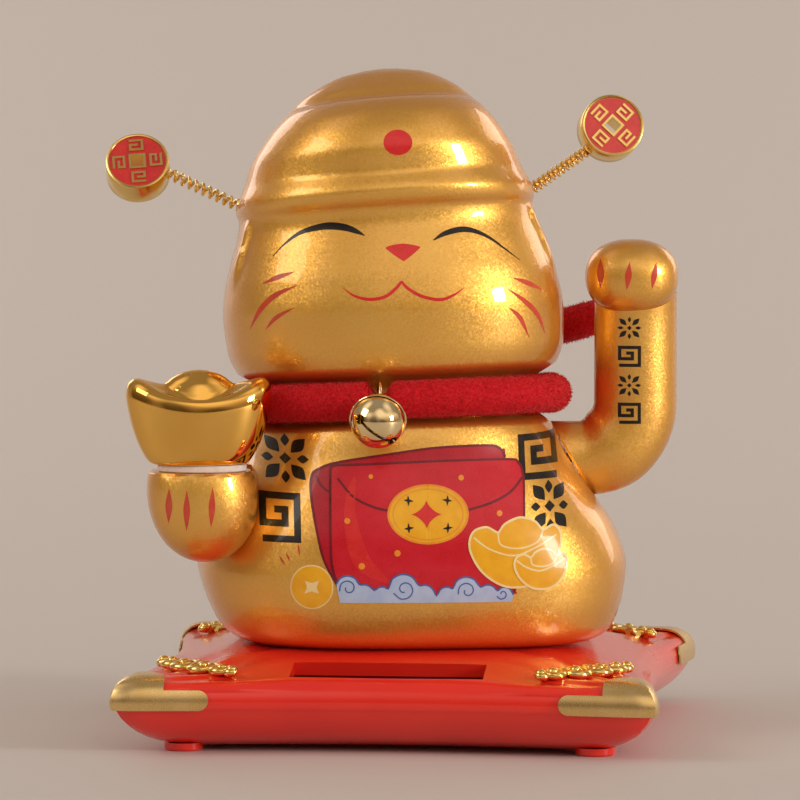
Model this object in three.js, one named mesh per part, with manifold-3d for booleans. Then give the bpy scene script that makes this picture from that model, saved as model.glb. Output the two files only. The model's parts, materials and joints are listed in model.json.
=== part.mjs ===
// Solar beckoning cat: a hollow gold figure with a swinging arm, standing on a
// cushion-shaped base.  Millimetres, +Z up, the cat looks along -Y, and the origin is
// the middle of the base's flat underside.
import * as THREE from 'three';
import { mergeVertices } from 'three/addons/utils/BufferGeometryUtils.js';
import Module from 'manifold-3d';

const wasm = await Module();
wasm.setup();

const degrees = THREE.MathUtils.degToRad;
const gap = 0.3; // clearance between pieces that touch

// ---------------------------------------------------------------- driving dimensions
const base = {
  side: 46.5, // centre to the middle of a side
  cornerSpread: 0.1, // how far the corners run out past a straight-sided square
  cornerReach: 70.8, // centre to a corner tip
  rimHeight: 14.2,
  domeHeight: 3.6,
  domeStart: 28,
  domeEnd: 47,
  wall: 2.2,
};
const foot = { at: 37, radius: 3.7 };
const padRadius = 14; // a round pad under the middle of the tray, level with the feet
const slot = { width: 36, depth: 7.6, y: -40, slope: degrees(13) };
const figure = {
  yaw: degrees(10), // the cat looks a little to its left
  bottom: 18.1,
  top: 125.4,
  leanStart: 1, // the figure's middle line starts here and drifts to one side
  leanPerMillimetre: 0.0725,
  leanEnd: 110,
  tiltAtTop: 0.08, // rise towards +X, per millimetre, of the highest level
  wall: 1.6,
};
const collar = { radius: 3.8, halfWidth: 29, front: 27.5, back: 27, z: 62.9 };
const bell = {
  radius: 5.1,
  wall: 0.5,
  around: degrees(-8.4), // where it hangs on the collar, from straight ahead
  pinch: 1.4, // the pile is squeezed to this radius under the ring
  ringRadius: 3.35,
  ringWire: 0.35,
  ringDrop: degrees(10),
  eyeRadius: 1.15,
  drop: degrees(25),
};
const arm = {
  pivot: new THREE.Vector3(30, 0, 51.3),
  faceTilt: degrees(29), // the joint face leans back by this much
  rootRadius: 7.1,
  forearmX: 42.8,
  forearmRadius: 7.9,
  depthRatio: 0.86,
  bend: 10.7,
  wristHeight: 78,
  wall: 1.3,
};
const axle = { radius: 1, inner: -24, outer: 3.6, leverAt: -18, leverLength: 19.5 };
const coin = { radius: 6, thickness: 5.6, hole: 2.3, rim: 0.6, recess: 0.4 };
const spring = { radius: 0.92, wire: 0.27, pitch: 1.45 };

// ---------------------------------------------------------------- materials
function plastic(color, roughness = 0.3, metalness = 0) {
  return new THREE.MeshStandardMaterial({ color, roughness, metalness });
}
const redPlastic = plastic(0xc81e1e, 0.2);
const goldPaint = plastic(0xd9a441, 0.3, 0.55);
const satinGold = plastic(0xc9a35c, 0.45, 0.8);
const brightGold = plastic(0xe6b93f, 0.15, 1);
const mirrorGold = plastic(0xe0a030, 0.06, 1);
const steel = plastic(0xb8b8bc, 0.35, 1);
const redChenille = plastic(0xb3101c, 0.95);
const whiteNylon = plastic(0xe8e6e0, 0.5);
const darkCell = plastic(0x1c1416, 0.15);
const greenBoard = plastic(0x1f6b3a, 0.5);
const blackEpoxy = plastic(0x121212, 0.6);
const copper = plastic(0xb87333, 0.3, 1);
const foam = plastic(0xe9dcd6, 0.9);
const redLead = plastic(0xb02020, 0.5);
const blackLead = plastic(0x181818, 0.5);

// ---------------------------------------------------------------- solids
function toSolid(geometry) {
  const bare = geometry.clone();
  for (const name of Object.keys(bare.attributes)) {
    if (name !== 'position') bare.deleteAttribute(name);
  }
  const merged = mergeVertices(bare, 1e-4);
  return new wasm.Manifold(new wasm.Mesh({
    numProp: 3,
    vertProperties: new Float32Array(merged.attributes.position.array),
    triVerts: new Uint32Array(merged.index.array),
  }));
}

function toGeometry(solid) {
  const mesh = solid.getMesh();
  const geometry = new THREE.BufferGeometry();
  geometry.setAttribute('position', new THREE.BufferAttribute(mesh.vertProperties, 3));
  geometry.setIndex(new THREE.BufferAttribute(mesh.triVerts, 1));
  geometry.computeVertexNormals();
  return geometry;
}

function unite(...solids) {
  return solids.reduce((all, next) => all.add(next));
}

// A closed skin over a stack of rings, each with the same number of points and
// running anticlockwise seen from the last ring.
function skin(rings) {
  const count = rings[0].length;
  const positions = [];
  for (const ring of rings) {
    for (const point of ring) positions.push(point.x, point.y, point.z);
  }
  const index = [];
  for (let row = 0; row + 1 < rings.length; row += 1) {
    for (let i = 0; i < count; i += 1) {
      const a = row * count + i;
      const b = row * count + ((i + 1) % count);
      index.push(a, b, b + count, a, b + count, a + count);
    }
  }
  const addCap = (ring, offset, flip) => {
    const centre = positions.length / 3;
    const middle = ring.reduce((sum, p) => sum.add(p), new THREE.Vector3());
    middle.divideScalar(count);
    positions.push(middle.x, middle.y, middle.z);
    for (let i = 0; i < count; i += 1) {
      const a = offset + i;
      const b = offset + ((i + 1) % count);
      index.push(centre, flip ? b : a, flip ? a : b);
    }
  };
  addCap(rings[0], 0, true);
  addCap(rings[rings.length - 1], (rings.length - 1) * count, false);
  const geometry = new THREE.BufferGeometry();
  geometry.setAttribute('position', new THREE.Float32BufferAttribute(positions, 3));
  geometry.setIndex(index);
  return geometry;
}

function placed(geometry, x, y, z) {
  return geometry.translate(x, y, z);
}

function boxSolid(x0, x1, y0, y1, z0, z1) {
  const geometry = new THREE.BoxGeometry(x1 - x0, y1 - y0, z1 - z0);
  return toSolid(placed(geometry, (x0 + x1) / 2, (y0 + y1) / 2, (z0 + z1) / 2));
}

// A round bar between two points.
function barGeometry(start, end, radius, sides = 12) {
  const along = end.clone().sub(start);
  const geometry = new THREE.CylinderGeometry(radius, radius, along.length(), sides);
  const turn = new THREE.Quaternion().setFromUnitVectors(
    new THREE.Vector3(0, 1, 0), along.clone().normalize());
  geometry.applyQuaternion(turn);
  const middle = start.clone().add(end).multiplyScalar(0.5);
  return placed(geometry, middle.x, middle.y, middle.z);
}

function postSolid(x, y, z0, z1, radius, sides = 10) {
  const low = new THREE.Vector3(x, y, z0);
  return toSolid(barGeometry(low, new THREE.Vector3(x, y, z1), radius, sides));
}

// A tube along a list of points, with its radius given along the way.
function tubeRings(points, radiusAt, sides = 12, flatten = 1) {
  const curve = new THREE.CatmullRomCurve3(points, false, 'centripetal');
  const steps = Math.round(points.length * 1.6);
  const rings = [];
  const sideways = new THREE.Vector3(0, 1, 0);
  for (let step = 0; step <= steps; step += 1) {
    const t = step / steps;
    const centre = curve.getPointAt(t);
    const along = curve.getTangentAt(t);
    const across = new THREE.Vector3().crossVectors(sideways, along).normalize();
    const other = new THREE.Vector3().crossVectors(along, across);
    const ring = [];
    for (let i = 0; i < sides; i += 1) {
      const angle = (i / sides) * 2 * Math.PI;
      const point = centre.clone();
      point.addScaledVector(across, radiusAt(t) * Math.cos(angle));
      point.addScaledVector(other, radiusAt(t) * flatten * Math.sin(angle));
      ring.push(point);
    }
    rings.push(ring);
  }
  return rings;
}

function plainTube(points, radius, sides = 8) {
  const shape = new THREE.Shape().absarc(0, 0, radius, 0, 2 * Math.PI);
  return new THREE.ExtrudeGeometry(shape, {
    extrudePath: new THREE.CatmullRomCurve3(points),
    steps: points.length * 2,
    curveSegments: sides / 2,
    bevelEnabled: false,
  });
}

// A squared-off ball: each point of a sphere pushed out towards a box.
function ballGeometry(centre, radii, squareness = 2, columns = 20, rows = 12) {
  const rings = [];
  for (let row = 1; row < rows; row += 1) {
    const polar = (row / rows) * Math.PI;
    const ring = [];
    for (let i = 0; i < columns; i += 1) {
      const angle = (i / columns) * 2 * Math.PI;
      const unit = new THREE.Vector3(
        Math.sin(polar) * Math.cos(angle),
        Math.sin(polar) * Math.sin(angle),
        -Math.cos(polar));
      const size = ['x', 'y', 'z'].reduce((sum, k) => sum + Math.abs(unit[k]) ** squareness, 0);
      unit.multiplyScalar(size ** (-1 / squareness));
      ring.push(unit.multiply(radii).add(centre));
    }
    rings.push(ring);
  }
  return skin(rings);
}

// ---------------------------------------------------------------- profile curves
// A curve through given heights that never overshoots its values.
function monotoneCurve(knots, values) {
  const slopes = knots.slice(1).map((k, i) => (values[i + 1] - values[i]) / (k - knots[i]));
  const tangents = values.map((_, i) => {
    if (i === 0) return slopes[0];
    if (i === values.length - 1) return slopes[i - 1];
    const before = slopes[i - 1];
    const after = slopes[i];
    if (before * after <= 0) return 0;
    return (2 * before * after) / (before + after);
  });
  return (x) => {
    let i = 0;
    while (i < knots.length - 2 && x > knots[i + 1]) i += 1;
    const width = knots[i + 1] - knots[i];
    const t = Math.min(Math.max((x - knots[i]) / width, 0), 1);
    const h = t * t * (3 - 2 * t);
    const bow = t * (1 - t) * width;
    return values[i] * (1 - h) + values[i + 1] * h
      + bow * ((1 - t) * tangents[i] - t * tangents[i + 1]);
  };
}

// Levels of the figure: height, half width, depth in front of and behind the middle
// line, squareness of the outline (2 is an ellipse), and how much the level rises
// towards the front, per millimetre.
const figureLevels = [
  [18.1, 33.6, 28.0, 28.0, 3.0, 0],
  [19.3, 35.9, 30.2, 30.2, 3.0, 0],
  [22.0, 38.0, 31.8, 31.6, 2.9, 0],
  [27.0, 39.8, 33.2, 32.8, 2.8, 0],
  [32.0, 40.6, 33.7, 33.0, 2.7, 0],
  [38.0, 39.0, 33.4, 32.2, 2.6, 0.01],
  [45.0, 34.9, 31.9, 30.2, 2.5, 0.02],
  [52.0, 30.6, 29.6, 28.0, 2.4, 0.04],
  [57.7, 28.2, 27.9, 26.4, 2.3, 0.07],
  [59.1, 26.4, 25.4, 24.5, 2.3, 0.07],
  [60.7, 24.7, 23.2, 22.3, 2.3, 0.07],
  [62.9, 24.1, 22.6, 21.6, 2.3, 0.07],
  [65.1, 24.7, 23.2, 22.3, 2.3, 0.07],
  [66.7, 26.8, 25.3, 24.2, 2.3, 0.07],
  [68.7, 30.2, 27.7, 26.2, 2.35, 0.07],
  [73.0, 31.8, 29.0, 27.2, 2.4, 0.07],
  [79.5, 32.2, 29.5, 27.8, 2.4, 0.07],
  [85.0, 31.4, 28.6, 27.8, 2.4, 0.08],
  [91.0, 29.7, 26.8, 27.0, 2.35, 0.08],
  [96.5, 28.0, 25.2, 26.0, 2.3, 0.09],
  [98.2, 27.8, 25.4, 26.0, 2.3, 0.09],
  [99.6, 28.2, 26.9, 26.6, 2.3, 0.09],
  [101.5, 27.9, 27.6, 26.8, 2.3, 0.09],
  [103.4, 27.0, 26.8, 26.2, 2.3, 0.09],
  [104.8, 26.3, 25.9, 25.4, 2.25, 0.1],
  [108.4, 25.0, 26.1, 24.0, 2.2, 0.12],
  [111.2, 23.4, 25.0, 22.4, 2.2, 0.14],
  [114.0, 21.4, 22.6, 20.4, 2.2, 0.17],
  [116.2, 19.5, 19.4, 18.4, 2.15, 0.19],
  [117.3, 18.4, 16.9, 17.4, 2.1, 0.2],
  [117.8, 17.9, 14.8, 16.8, 2.1, 0.2],
  [118.1, 17.6, 12.9, 16.5, 2.1, 0.2],
  [120.6, 14.9, 9.7, 13.8, 2.1, 0.2],
  [122.8, 11.5, 6.7, 10.6, 2.0, 0.18],
  [124.4, 7.7, 4.0, 7.0, 2.0, 0.15],
  [125.2, 3.4, 1.7, 3.2, 2.0, 0.1],
];
const levelHeights = figureLevels.map((level) => level[0]);
const levelCurves = [1, 2, 3, 4, 5].map(
  (column) => monotoneCurve(levelHeights, figureLevels.map((level) => level[column])));

function leanAt(z) {
  const climbed = Math.min(z, figure.leanEnd) - figure.bottom;
  return figure.leanStart - figure.leanPerMillimetre * climbed;
}

function tiltAt(z) {
  return (figure.tiltAtTop * (z - figure.bottom)) / (figure.top - figure.bottom);
}

// A point in a level of the figure; angle 0 is straight ahead, 90 degrees is +X.
function levelPoint(z, angle, halfWidth, front, back, squareness, rise) {
  const power = 2 / squareness;
  const side = Math.sin(angle);
  const ahead = Math.cos(angle);
  const x = halfWidth * Math.sign(side) * Math.abs(side) ** power;
  const depth = ahead > 0 ? front : back;
  const y = -depth * Math.sign(ahead) * Math.abs(ahead) ** power;
  return new THREE.Vector3(x + leanAt(z), y, z + tiltAt(z) * x - rise * y);
}

function figureRing(z, inset, columns) {
  const [halfWidth, front, back, squareness, rise] = levelCurves.map((curve) => curve(z));
  const ring = [];
  for (let i = 0; i < columns; i += 1) {
    const angle = (i / columns) * 2 * Math.PI;
    ring.push(levelPoint(z, angle, halfWidth - inset, front - inset, back - inset,
      squareness, rise));
  }
  return ring;
}

function figureSkin() {
  const columns = 28;
  return skin(levelHeights.map((z) => figureRing(z, 0, columns)));
}

function figureHollow() {
  const columns = 16;
  const inset = figure.wall;
  const low = figure.bottom + inset;
  const heights = [low, 20.6, 25, 32, 45, 56.5, 60.7, 65.1, 69.5, 80, 92, 103, 110, 114.5];
  return skin(heights.map((z) => {
    const ring = figureRing(z, inset, columns);
    for (const point of ring) point.z = Math.max(point.z, low);
    return ring;
  }));
}

// ---------------------------------------------------------------- base
function smallerOf(a, b, blend) {
  return -blend * Math.log(Math.exp(-a / blend) + Math.exp(-b / blend));
}

// Distance from the middle to the cushion's edge: a square with hollow sides and
// drawn-out, rounded corners.
function cushionReach(angle) {
  const quarter = Math.PI / 2;
  const folded = angle - quarter * Math.round(angle / quarter);
  const straight = base.side / Math.cos(folded);
  const drawn = straight * (1 + base.cornerSpread * Math.tan(folded) ** 2);
  return smallerOf(drawn, base.cornerReach, 1.2);
}

// The seat of the figure rises with a squared, well rounded outline.
function domeRise(x, y) {
  const distance = (x ** 4 + y ** 4) ** 0.25;
  return base.domeHeight * (1 - THREE.MathUtils.smoothstep(distance, base.domeStart,
    base.domeEnd));
}

// Edge of the cushion from its underside to its top: share of the reach, and height.
const cushionEdge = [
  [0.79, 1.2], [0.86, 2.3], [0.925, 4.2], [0.97, 6.5], [0.995, 8.6], [1, 10], [0.99, 12],
  [0.97, 13.2], [0.94, 14.0],
  ...[0.89, 0.81, 0.73, 0.65, 0.57, 0.49, 0.4, 0.28].map((share) => [share, base.rimHeight]),
];

// The cushion's profile in one direction, moved out by grow (in if negative).
function cushionProfile(angle, grow) {
  const reach = cushionReach(angle);
  const line = cushionEdge.map(([share, height]) => {
    const distance = share * reach;
    const rise = domeRise(distance * Math.cos(angle), distance * Math.sin(angle));
    const onTop = height > 11 ? rise : 0;
    return new THREE.Vector2(distance, height + onTop);
  });
  return line.map((point, i) => {
    const before = line[Math.max(i - 1, 0)];
    const after = line[Math.min(i + 1, line.length - 1)];
    const along = after.clone().sub(before).normalize();
    const outward = new THREE.Vector2(along.y, -along.x);
    return point.clone().addScaledVector(outward, grow);
  });
}

function cushionGeometry(grow, columns = 36) {
  const rings = cushionEdge.map(() => []);
  for (let i = 0; i < columns; i += 1) {
    const angle = (i / columns) * 2 * Math.PI;
    cushionProfile(angle, grow).forEach((point, row) => {
      const x = point.x * Math.cos(angle);
      rings[row].push(new THREE.Vector3(x, point.x * Math.sin(angle), point.y));
    });
  }
  return skin(rings);
}

// A solid turned from a profile, but with the cushion's outline instead of a circle.
function cushionTurned(profile, columns = 28) {
  return skin(profile.map(([share, height]) => {
    const ring = [];
    for (let i = 0; i < columns; i += 1) {
      const angle = (i / columns) * 2 * Math.PI;
      const reach = cushionReach(angle) * share;
      ring.push(new THREE.Vector3(reach * Math.cos(angle), reach * Math.sin(angle), height));
    }
    return ring;
  }));
}

const corners = [
  { name: 'front_left', x: -1, y: -1 },
  { name: 'front_right', x: 1, y: -1 },
  { name: 'rear_right', x: 1, y: 1 },
  { name: 'rear_left', x: -1, y: 1 },
];
const trayScrewAt = 29;
const bodyScrews = [
  { name: 'front', x: -14, y: -15 },
  { name: 'rear', x: -14, y: 15 },
];
const screw = { shank: 1.2, head: 2.8, headHeight: 1.6, pilot: 1.5, boss: 3.5 };

function turnedByYaw(x, y) {
  return new THREE.Vector2(x, y).rotateAround(new THREE.Vector2(), figure.yaw);
}

function slopedBox(width, depth, height, z) {
  const geometry = new THREE.BoxGeometry(width, depth, height);
  geometry.rotateX(slot.slope);
  return placed(geometry, 0, slot.y, z);
}

const cellHeight = 11.9;

function baseTop() {
  const outside = toSolid(cushionGeometry(0));
  const inside = toSolid(cushionGeometry(-base.wall, 20));
  const mouth = toSolid(cushionTurned([[0.8, 0], [0.8, 6.5]]));
  let shell = outside.subtract(inside).subtract(mouth);
  for (const corner of corners) {
    const x = corner.x * trayScrewAt;
    const y = corner.y * trayScrewAt;
    shell = shell.add(postSolid(x, y, 5.6, 15.2, screw.boss));
    shell = shell.subtract(postSolid(x, y, 5, 13.6, screw.pilot));
  }
  for (const place of bodyScrews) {
    const at = turnedByYaw(place.x, place.y);
    shell = shell.subtract(postSolid(at.x, at.y, 10, 20, screw.pilot));
  }
  const opening = toSolid(slopedBox(slot.width, slot.depth, 12, 16));
  const cellRoom = toSolid(slopedBox(slot.width + 3, slot.depth + 3, 1.2 + 2 * gap, cellHeight));
  return toGeometry(shell.subtract(opening).subtract(cellRoom));
}

function baseTray() {
  const plate = toSolid(cushionTurned([[0.77, 0.9], [0.785, 1.2], [0.785, 3], [0.775, 3],
    [0.775, 5.2], [0.745, 5.2], [0.745, 2.2], [0.1, 2.2]]));
  let tray = plate.add(postSolid(0, 0, 0, 1.1, padRadius));
  for (const corner of corners) {
    const x = corner.x * trayScrewAt;
    const y = corner.y * trayScrewAt;
    tray = tray.add(postSolid(x, y, 1.5, 5.3, screw.boss));
    tray = tray.add(postSolid(corner.x * foot.at, corner.y * foot.at, 0, 1.1, foot.radius));
    tray = tray.subtract(postSolid(x, y, -1, 2, screw.head + gap));
    tray = tray.subtract(postSolid(x, y, -1, 7, screw.pilot));
  }
  return toGeometry(tray);
}

function screwGeometry(x, y, headBottom, tip) {
  const shoulder = headBottom + screw.headHeight;
  const head = postSolid(x, y, headBottom, shoulder, screw.head);
  return toGeometry(head.add(postSolid(x, y, shoulder - 0.1, tip, screw.shank)));
}

// Gold corner cap: a raised skin over the cushion's corner with a finger along each
// side and a leaf on top.
function cornerCap(corner) {
  const skinSolid = toSolid(cushionGeometry(1.1)).subtract(toSolid(cushionGeometry(gap)));
  const finger = (alongX) => {
    const reach = alongX ? [20, 9] : [9, 20];
    const x = corner.x * 53;
    const y = corner.y * 53;
    const xs = [x, x - corner.x * reach[0]].sort((a, b) => a - b);
    const ys = [y, y - corner.y * reach[1]].sort((a, b) => a - b);
    return boxSolid(xs[0], xs[1], ys[0], ys[1], 6.8, 11.4);
  };
  const leaf = postSolid(corner.x * 49, corner.y * 49, 6.8, 20, 9, 24);
  return toGeometry(skinSolid.intersect(unite(finger(true), finger(false), leaf)));
}

// Cloud-scroll ornament: a row of domed lobes that follows the cushion's top.
const cloudLobes = [
  { along: 0, out: 0.8, radius: 2.9 },
  { along: 4.1, out: -0.4, radius: 2.8 },
  { along: -4.1, out: -0.4, radius: 2.8 },
  { along: 7.9, out: 0, radius: 2.4 },
  { along: -7.9, out: 0, radius: 2.4 },
  { along: 10.8, out: -0.4, radius: 1.7 },
  { along: -10.8, out: -0.4, radius: 1.7 },
];

function cloudOrnament(corner) {
  const outward = new THREE.Vector2(corner.x, corner.y).normalize();
  const across = new THREE.Vector2(-outward.y, outward.x);
  const middle = outward.clone().multiplyScalar(52);
  const lobes = cloudLobes.map((lobe) => {
    const at = middle.clone().addScaledVector(across, lobe.along);
    at.addScaledVector(outward, lobe.out);
    const centre = new THREE.Vector3(at.x, at.y, base.rimHeight + 0.2);
    const radii = new THREE.Vector3(lobe.radius, lobe.radius, 2);
    return toSolid(ballGeometry(centre, radii, 2, 8, 5));
  });
  return toGeometry(unite(...lobes).subtract(toSolid(cushionGeometry(gap))));
}

function solarCell() {
  return slopedBox(slot.width + 2, slot.depth + 2, 1.2, cellHeight);
}

const board = { x0: -20, x1: 33, y0: -14, y1: 20, z0: 6, z1: 7.2 };
const magnetAt = new THREE.Vector2(23.8, 0);
const coil = turnedByYaw(magnetAt.x, magnetAt.y);

function circuitBoard() {
  let plate = boxSolid(board.x0, board.x1, board.y0, board.y1, board.z0, board.z1);
  plate = plate.subtract(postSolid(coil.x, coil.y, 5, 9, 1.4));
  return toGeometry(plate);
}

function turned(points, x, y, z, sides = 16) {
  const profile = points.map(([radius, height]) => new THREE.Vector2(radius, height));
  const geometry = new THREE.LatheGeometry(profile, sides);
  geometry.rotateX(Math.PI / 2);
  return placed(geometry, x, y, z);
}

function coilBobbin() {
  const profile = [[0, 0], [7.2, 0], [7.2, 0.8], [2.6, 0.8], [2.6, 5.6], [7.2, 5.6],
    [7.2, 6.4], [0, 6.4]];
  return turned(profile, coil.x, coil.y, board.z1 + gap);
}

function coilWinding() {
  const profile = [[2.9, 1.1], [6.7, 1.1], [6.9, 3.2], [6.7, 5.3], [2.9, 5.3], [2.9, 1.1]];
  return turned(profile, coil.x, coil.y, board.z1 + gap);
}

function storageCapacitor() {
  const profile = [[0, 0], [3, 0], [3.15, 0.3], [3.15, 0.9], [2.9, 1.1], [3.15, 1.3],
    [3.15, 4.9], [2.8, 5.3], [0, 5.3]];
  return turned(profile, -11, 12, board.z1 + gap);
}

function controlChip() {
  return turned([[0, 0], [4, 0], [3.7, 0.6], [2.4, 1.2], [0, 1.4]], 2, -3, board.z1 + gap, 20);
}

function solarLead(x) {
  const points = [
    new THREE.Vector3(x, slot.y + 1, cellHeight - 1.6),
    new THREE.Vector3(x, slot.y + 4, 8.4),
    new THREE.Vector3(x * 1.3, -26, 6.6),
    new THREE.Vector3(x * 1.5, -18, 7.6),
    new THREE.Vector3(x * 1.5, -12.5, 8.4),
  ];
  return plainTube(points, 0.6);
}

// ---------------------------------------------------------------- raised arm
const jointNormal = new THREE.Vector3(Math.cos(arm.faceTilt), 0, Math.sin(arm.faceTilt));
const jointUp = new THREE.Vector3(-Math.sin(arm.faceTilt), 0, Math.cos(arm.faceTilt));

function onAxle(distance) {
  return arm.pivot.clone().addScaledVector(jointNormal, distance);
}

// Everything on the outer side of the joint face, from a distance along the axle.
function outsideOfJoint(distance) {
  const size = 140;
  const geometry = new THREE.BoxGeometry(size, size, size);
  geometry.translate(size / 2, 0, 0);
  geometry.rotateY(-arm.faceTilt);
  const at = onAxle(distance);
  return toSolid(placed(geometry, at.x, at.y, at.z));
}

// The round space that the arm's root turns in, outside the joint face.
function shoulderSpace(distance) {
  return toSolid(barGeometry(onAxle(distance), onAxle(distance + 25), 9.2, 24));
}

function armVolume(inset) {
  const rootZ = arm.pivot.z;
  const points = [];
  for (const x of [17, 24]) points.push(new THREE.Vector3(x, 0, rootZ));
  for (let turn = 0; turn <= 90; turn += 22.5) {
    const angle = degrees(turn);
    const x = arm.forearmX - arm.bend + arm.bend * Math.sin(angle);
    points.push(new THREE.Vector3(x, 0, rootZ + arm.bend * (1 - Math.cos(angle))));
  }
  points.push(new THREE.Vector3(arm.forearmX, 0, 71));
  points.push(new THREE.Vector3(arm.forearmX, 0, arm.wristHeight));
  points.push(new THREE.Vector3(arm.forearmX, -0.5, 83));
  const radiusAt = (t) => THREE.MathUtils.lerp(arm.rootRadius, arm.forearmRadius,
    THREE.MathUtils.smoothstep(t, 0.1, 0.6)) - inset;
  const sides = inset > 0 ? 10 : 16;
  const limb = toSolid(skin(tubeRings(points, radiusAt, sides, arm.depthRatio)));
  const paw = ballGeometry(new THREE.Vector3(41.8, -2.4, 86),
    new THREE.Vector3(8.8 - inset, 8 - inset, 7.1 - inset), 2.3, sides, 9);
  return limb.add(toSolid(paw));
}

function armShells() {
  const solid = armVolume(0).intersect(outsideOfJoint(gap / 2));
  const hollow = armVolume(arm.wall).intersect(outsideOfJoint(3.4));
  const hole = toSolid(barGeometry(onAxle(-2), onAxle(axle.outer + gap), axle.radius + gap));
  const shell = solid.subtract(hollow).subtract(hole);
  const half = gap / 2;
  return {
    front: toGeometry(shell.intersect(boxSolid(0, 90, -60, -half, 0, 140))),
    back: toGeometry(shell.intersect(boxSolid(0, 90, half, 60, 0, 140))),
  };
}

function pendulumLever() {
  const hubStart = onAxle(axle.leverAt - 1.6);
  const hubEnd = onAxle(axle.leverAt + 1.6);
  const hub = toSolid(barGeometry(hubStart, hubEnd, 3));
  const hole = toSolid(barGeometry(onAxle(axle.leverAt - 3), onAxle(axle.leverAt + 3),
    axle.radius + gap));
  const stem = new THREE.BoxGeometry(1.6, 3.2, axle.leverLength - 3.2);
  stem.translate(0, 0, -(axle.leverLength - 3.2) / 2);
  const holder = new THREE.CylinderGeometry(4.2, 4.2, 1.2, 20);
  holder.rotateX(Math.PI / 2);
  holder.translate(0, 0, -(axle.leverLength - 3.2));
  const lever = toSolid(stem).add(toSolid(holder));
  const at = onAxle(axle.leverAt);
  const moved = toSolid(placed(toGeometry(lever).rotateY(-arm.faceTilt), at.x, at.y, at.z));
  return toGeometry(hub.add(moved).subtract(hole));
}

function magnetGeometry() {
  const top = onAxle(axle.leverAt).addScaledVector(jointUp, -(axle.leverLength - 2.3));
  const bottom = top.clone().addScaledVector(jointUp, -4);
  return barGeometry(top, bottom, 5, 24);
}

function ringBar(start, end, outer, inner) {
  const extra = end.clone().sub(start).multiplyScalar(0.2);
  const hole = barGeometry(start.clone().sub(extra), end.clone().add(extra), inner);
  return toGeometry(toSolid(barGeometry(start, end, outer, 20)).subtract(toSolid(hole)));
}

function axlePost() {
  const at = onAxle(axle.inner + 1.6);
  const foot = boxSolid(at.x - 4, at.x + 4, -5, 5, figure.bottom + figure.wall + gap, 21.6);
  const stem = boxSolid(at.x - 1.4, at.x + 1.4, -3, 3, 21, at.z + 3);
  const hole = barGeometry(onAxle(axle.inner - 4), onAxle(axle.inner + 7), axle.radius + gap);
  return toGeometry(foot.add(stem).subtract(toSolid(hole)));
}

// ---------------------------------------------------------------- body shells
const pawTop = 51.4;

// The cat's right forearm: a thick limb from the side of the body to a paw in front.
function holdingArm(inset) {
  const points = [
    new THREE.Vector3(-26, -4, 44.5),
    new THREE.Vector3(-34, -9, 44.2),
    new THREE.Vector3(-39.2, -15, 43.8),
    new THREE.Vector3(-41.2, -22, 43.5),
  ];
  const sides = inset > 0 ? 8 : 14;
  const limb = skin(tubeRings(points, () => 8.2 - inset, sides));
  const paw = ballGeometry(new THREE.Vector3(-40.4, -23, 46.6),
    new THREE.Vector3(10.3 - inset, 10.5 - inset, 12.4 - inset), 2.1, sides, 10);
  const arch = toSolid(limb).add(toSolid(paw));
  const palm = pawTop - inset;
  return arch.subtract(boxSolid(-60, -20, -40, 0, palm, 80));
}

function bodyShells() {
  const shoulder = armVolume(0).subtract(outsideOfJoint(-gap / 2));
  const body = toSolid(figureSkin()).subtract(shoulderSpace(-gap / 2));
  const outside = unite(body, shoulder, holdingArm(0));
  const hollow = toSolid(figureHollow()).subtract(shoulderSpace(-figure.wall - 1.2));
  const inside = hollow.add(holdingArm(figure.wall));
  let shell = outside.subtract(inside);
  for (const place of bodyScrews) {
    shell = shell.add(postSolid(place.x, place.y, 19, 26, screw.boss));
    shell = shell.subtract(postSolid(place.x, place.y, 17, 25, screw.pilot));
  }
  const bearingHole = barGeometry(onAxle(-8), onAxle(2), 2.8 + gap);
  shell = shell.subtract(toSolid(bearingHole));
  const half = gap / 2;
  return {
    front: toGeometry(shell.intersect(boxSolid(-80, 80, -80, -half, 0, 140))),
    back: toGeometry(shell.intersect(boxSolid(-80, 80, half, 80, 0, 140))),
  };
}

// ---------------------------------------------------------------- collar and bell
function collarPoint(angle) {
  const z = collar.z;
  return levelPoint(z, angle, collar.halfWidth, collar.front, collar.back, 2.3, 0.07);
}

// The stem is squeezed where the bell's ring goes round it.
function stemRadius(angle) {
  const away = ((angle - bell.around) * collar.halfWidth) / 1.7;
  return collar.radius - (collar.radius - bell.pinch) * Math.exp(-(away ** 4));
}

function collarAngles() {
  const angles = [];
  const closeBy = [-4, -2.6, -1.8, -1.1, -0.5, 0, 0.5, 1.1, 1.8, 2.6, 4];
  for (const step of closeBy) angles.push(bell.around + step / collar.halfWidth);
  const columns = 26;
  const first = angles[angles.length - 1];
  const span = 2 * Math.PI - (angles[angles.length - 1] - angles[0]);
  for (let i = 1; i < columns; i += 1) angles.push(first + (span * i) / columns);
  return angles;
}

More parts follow.
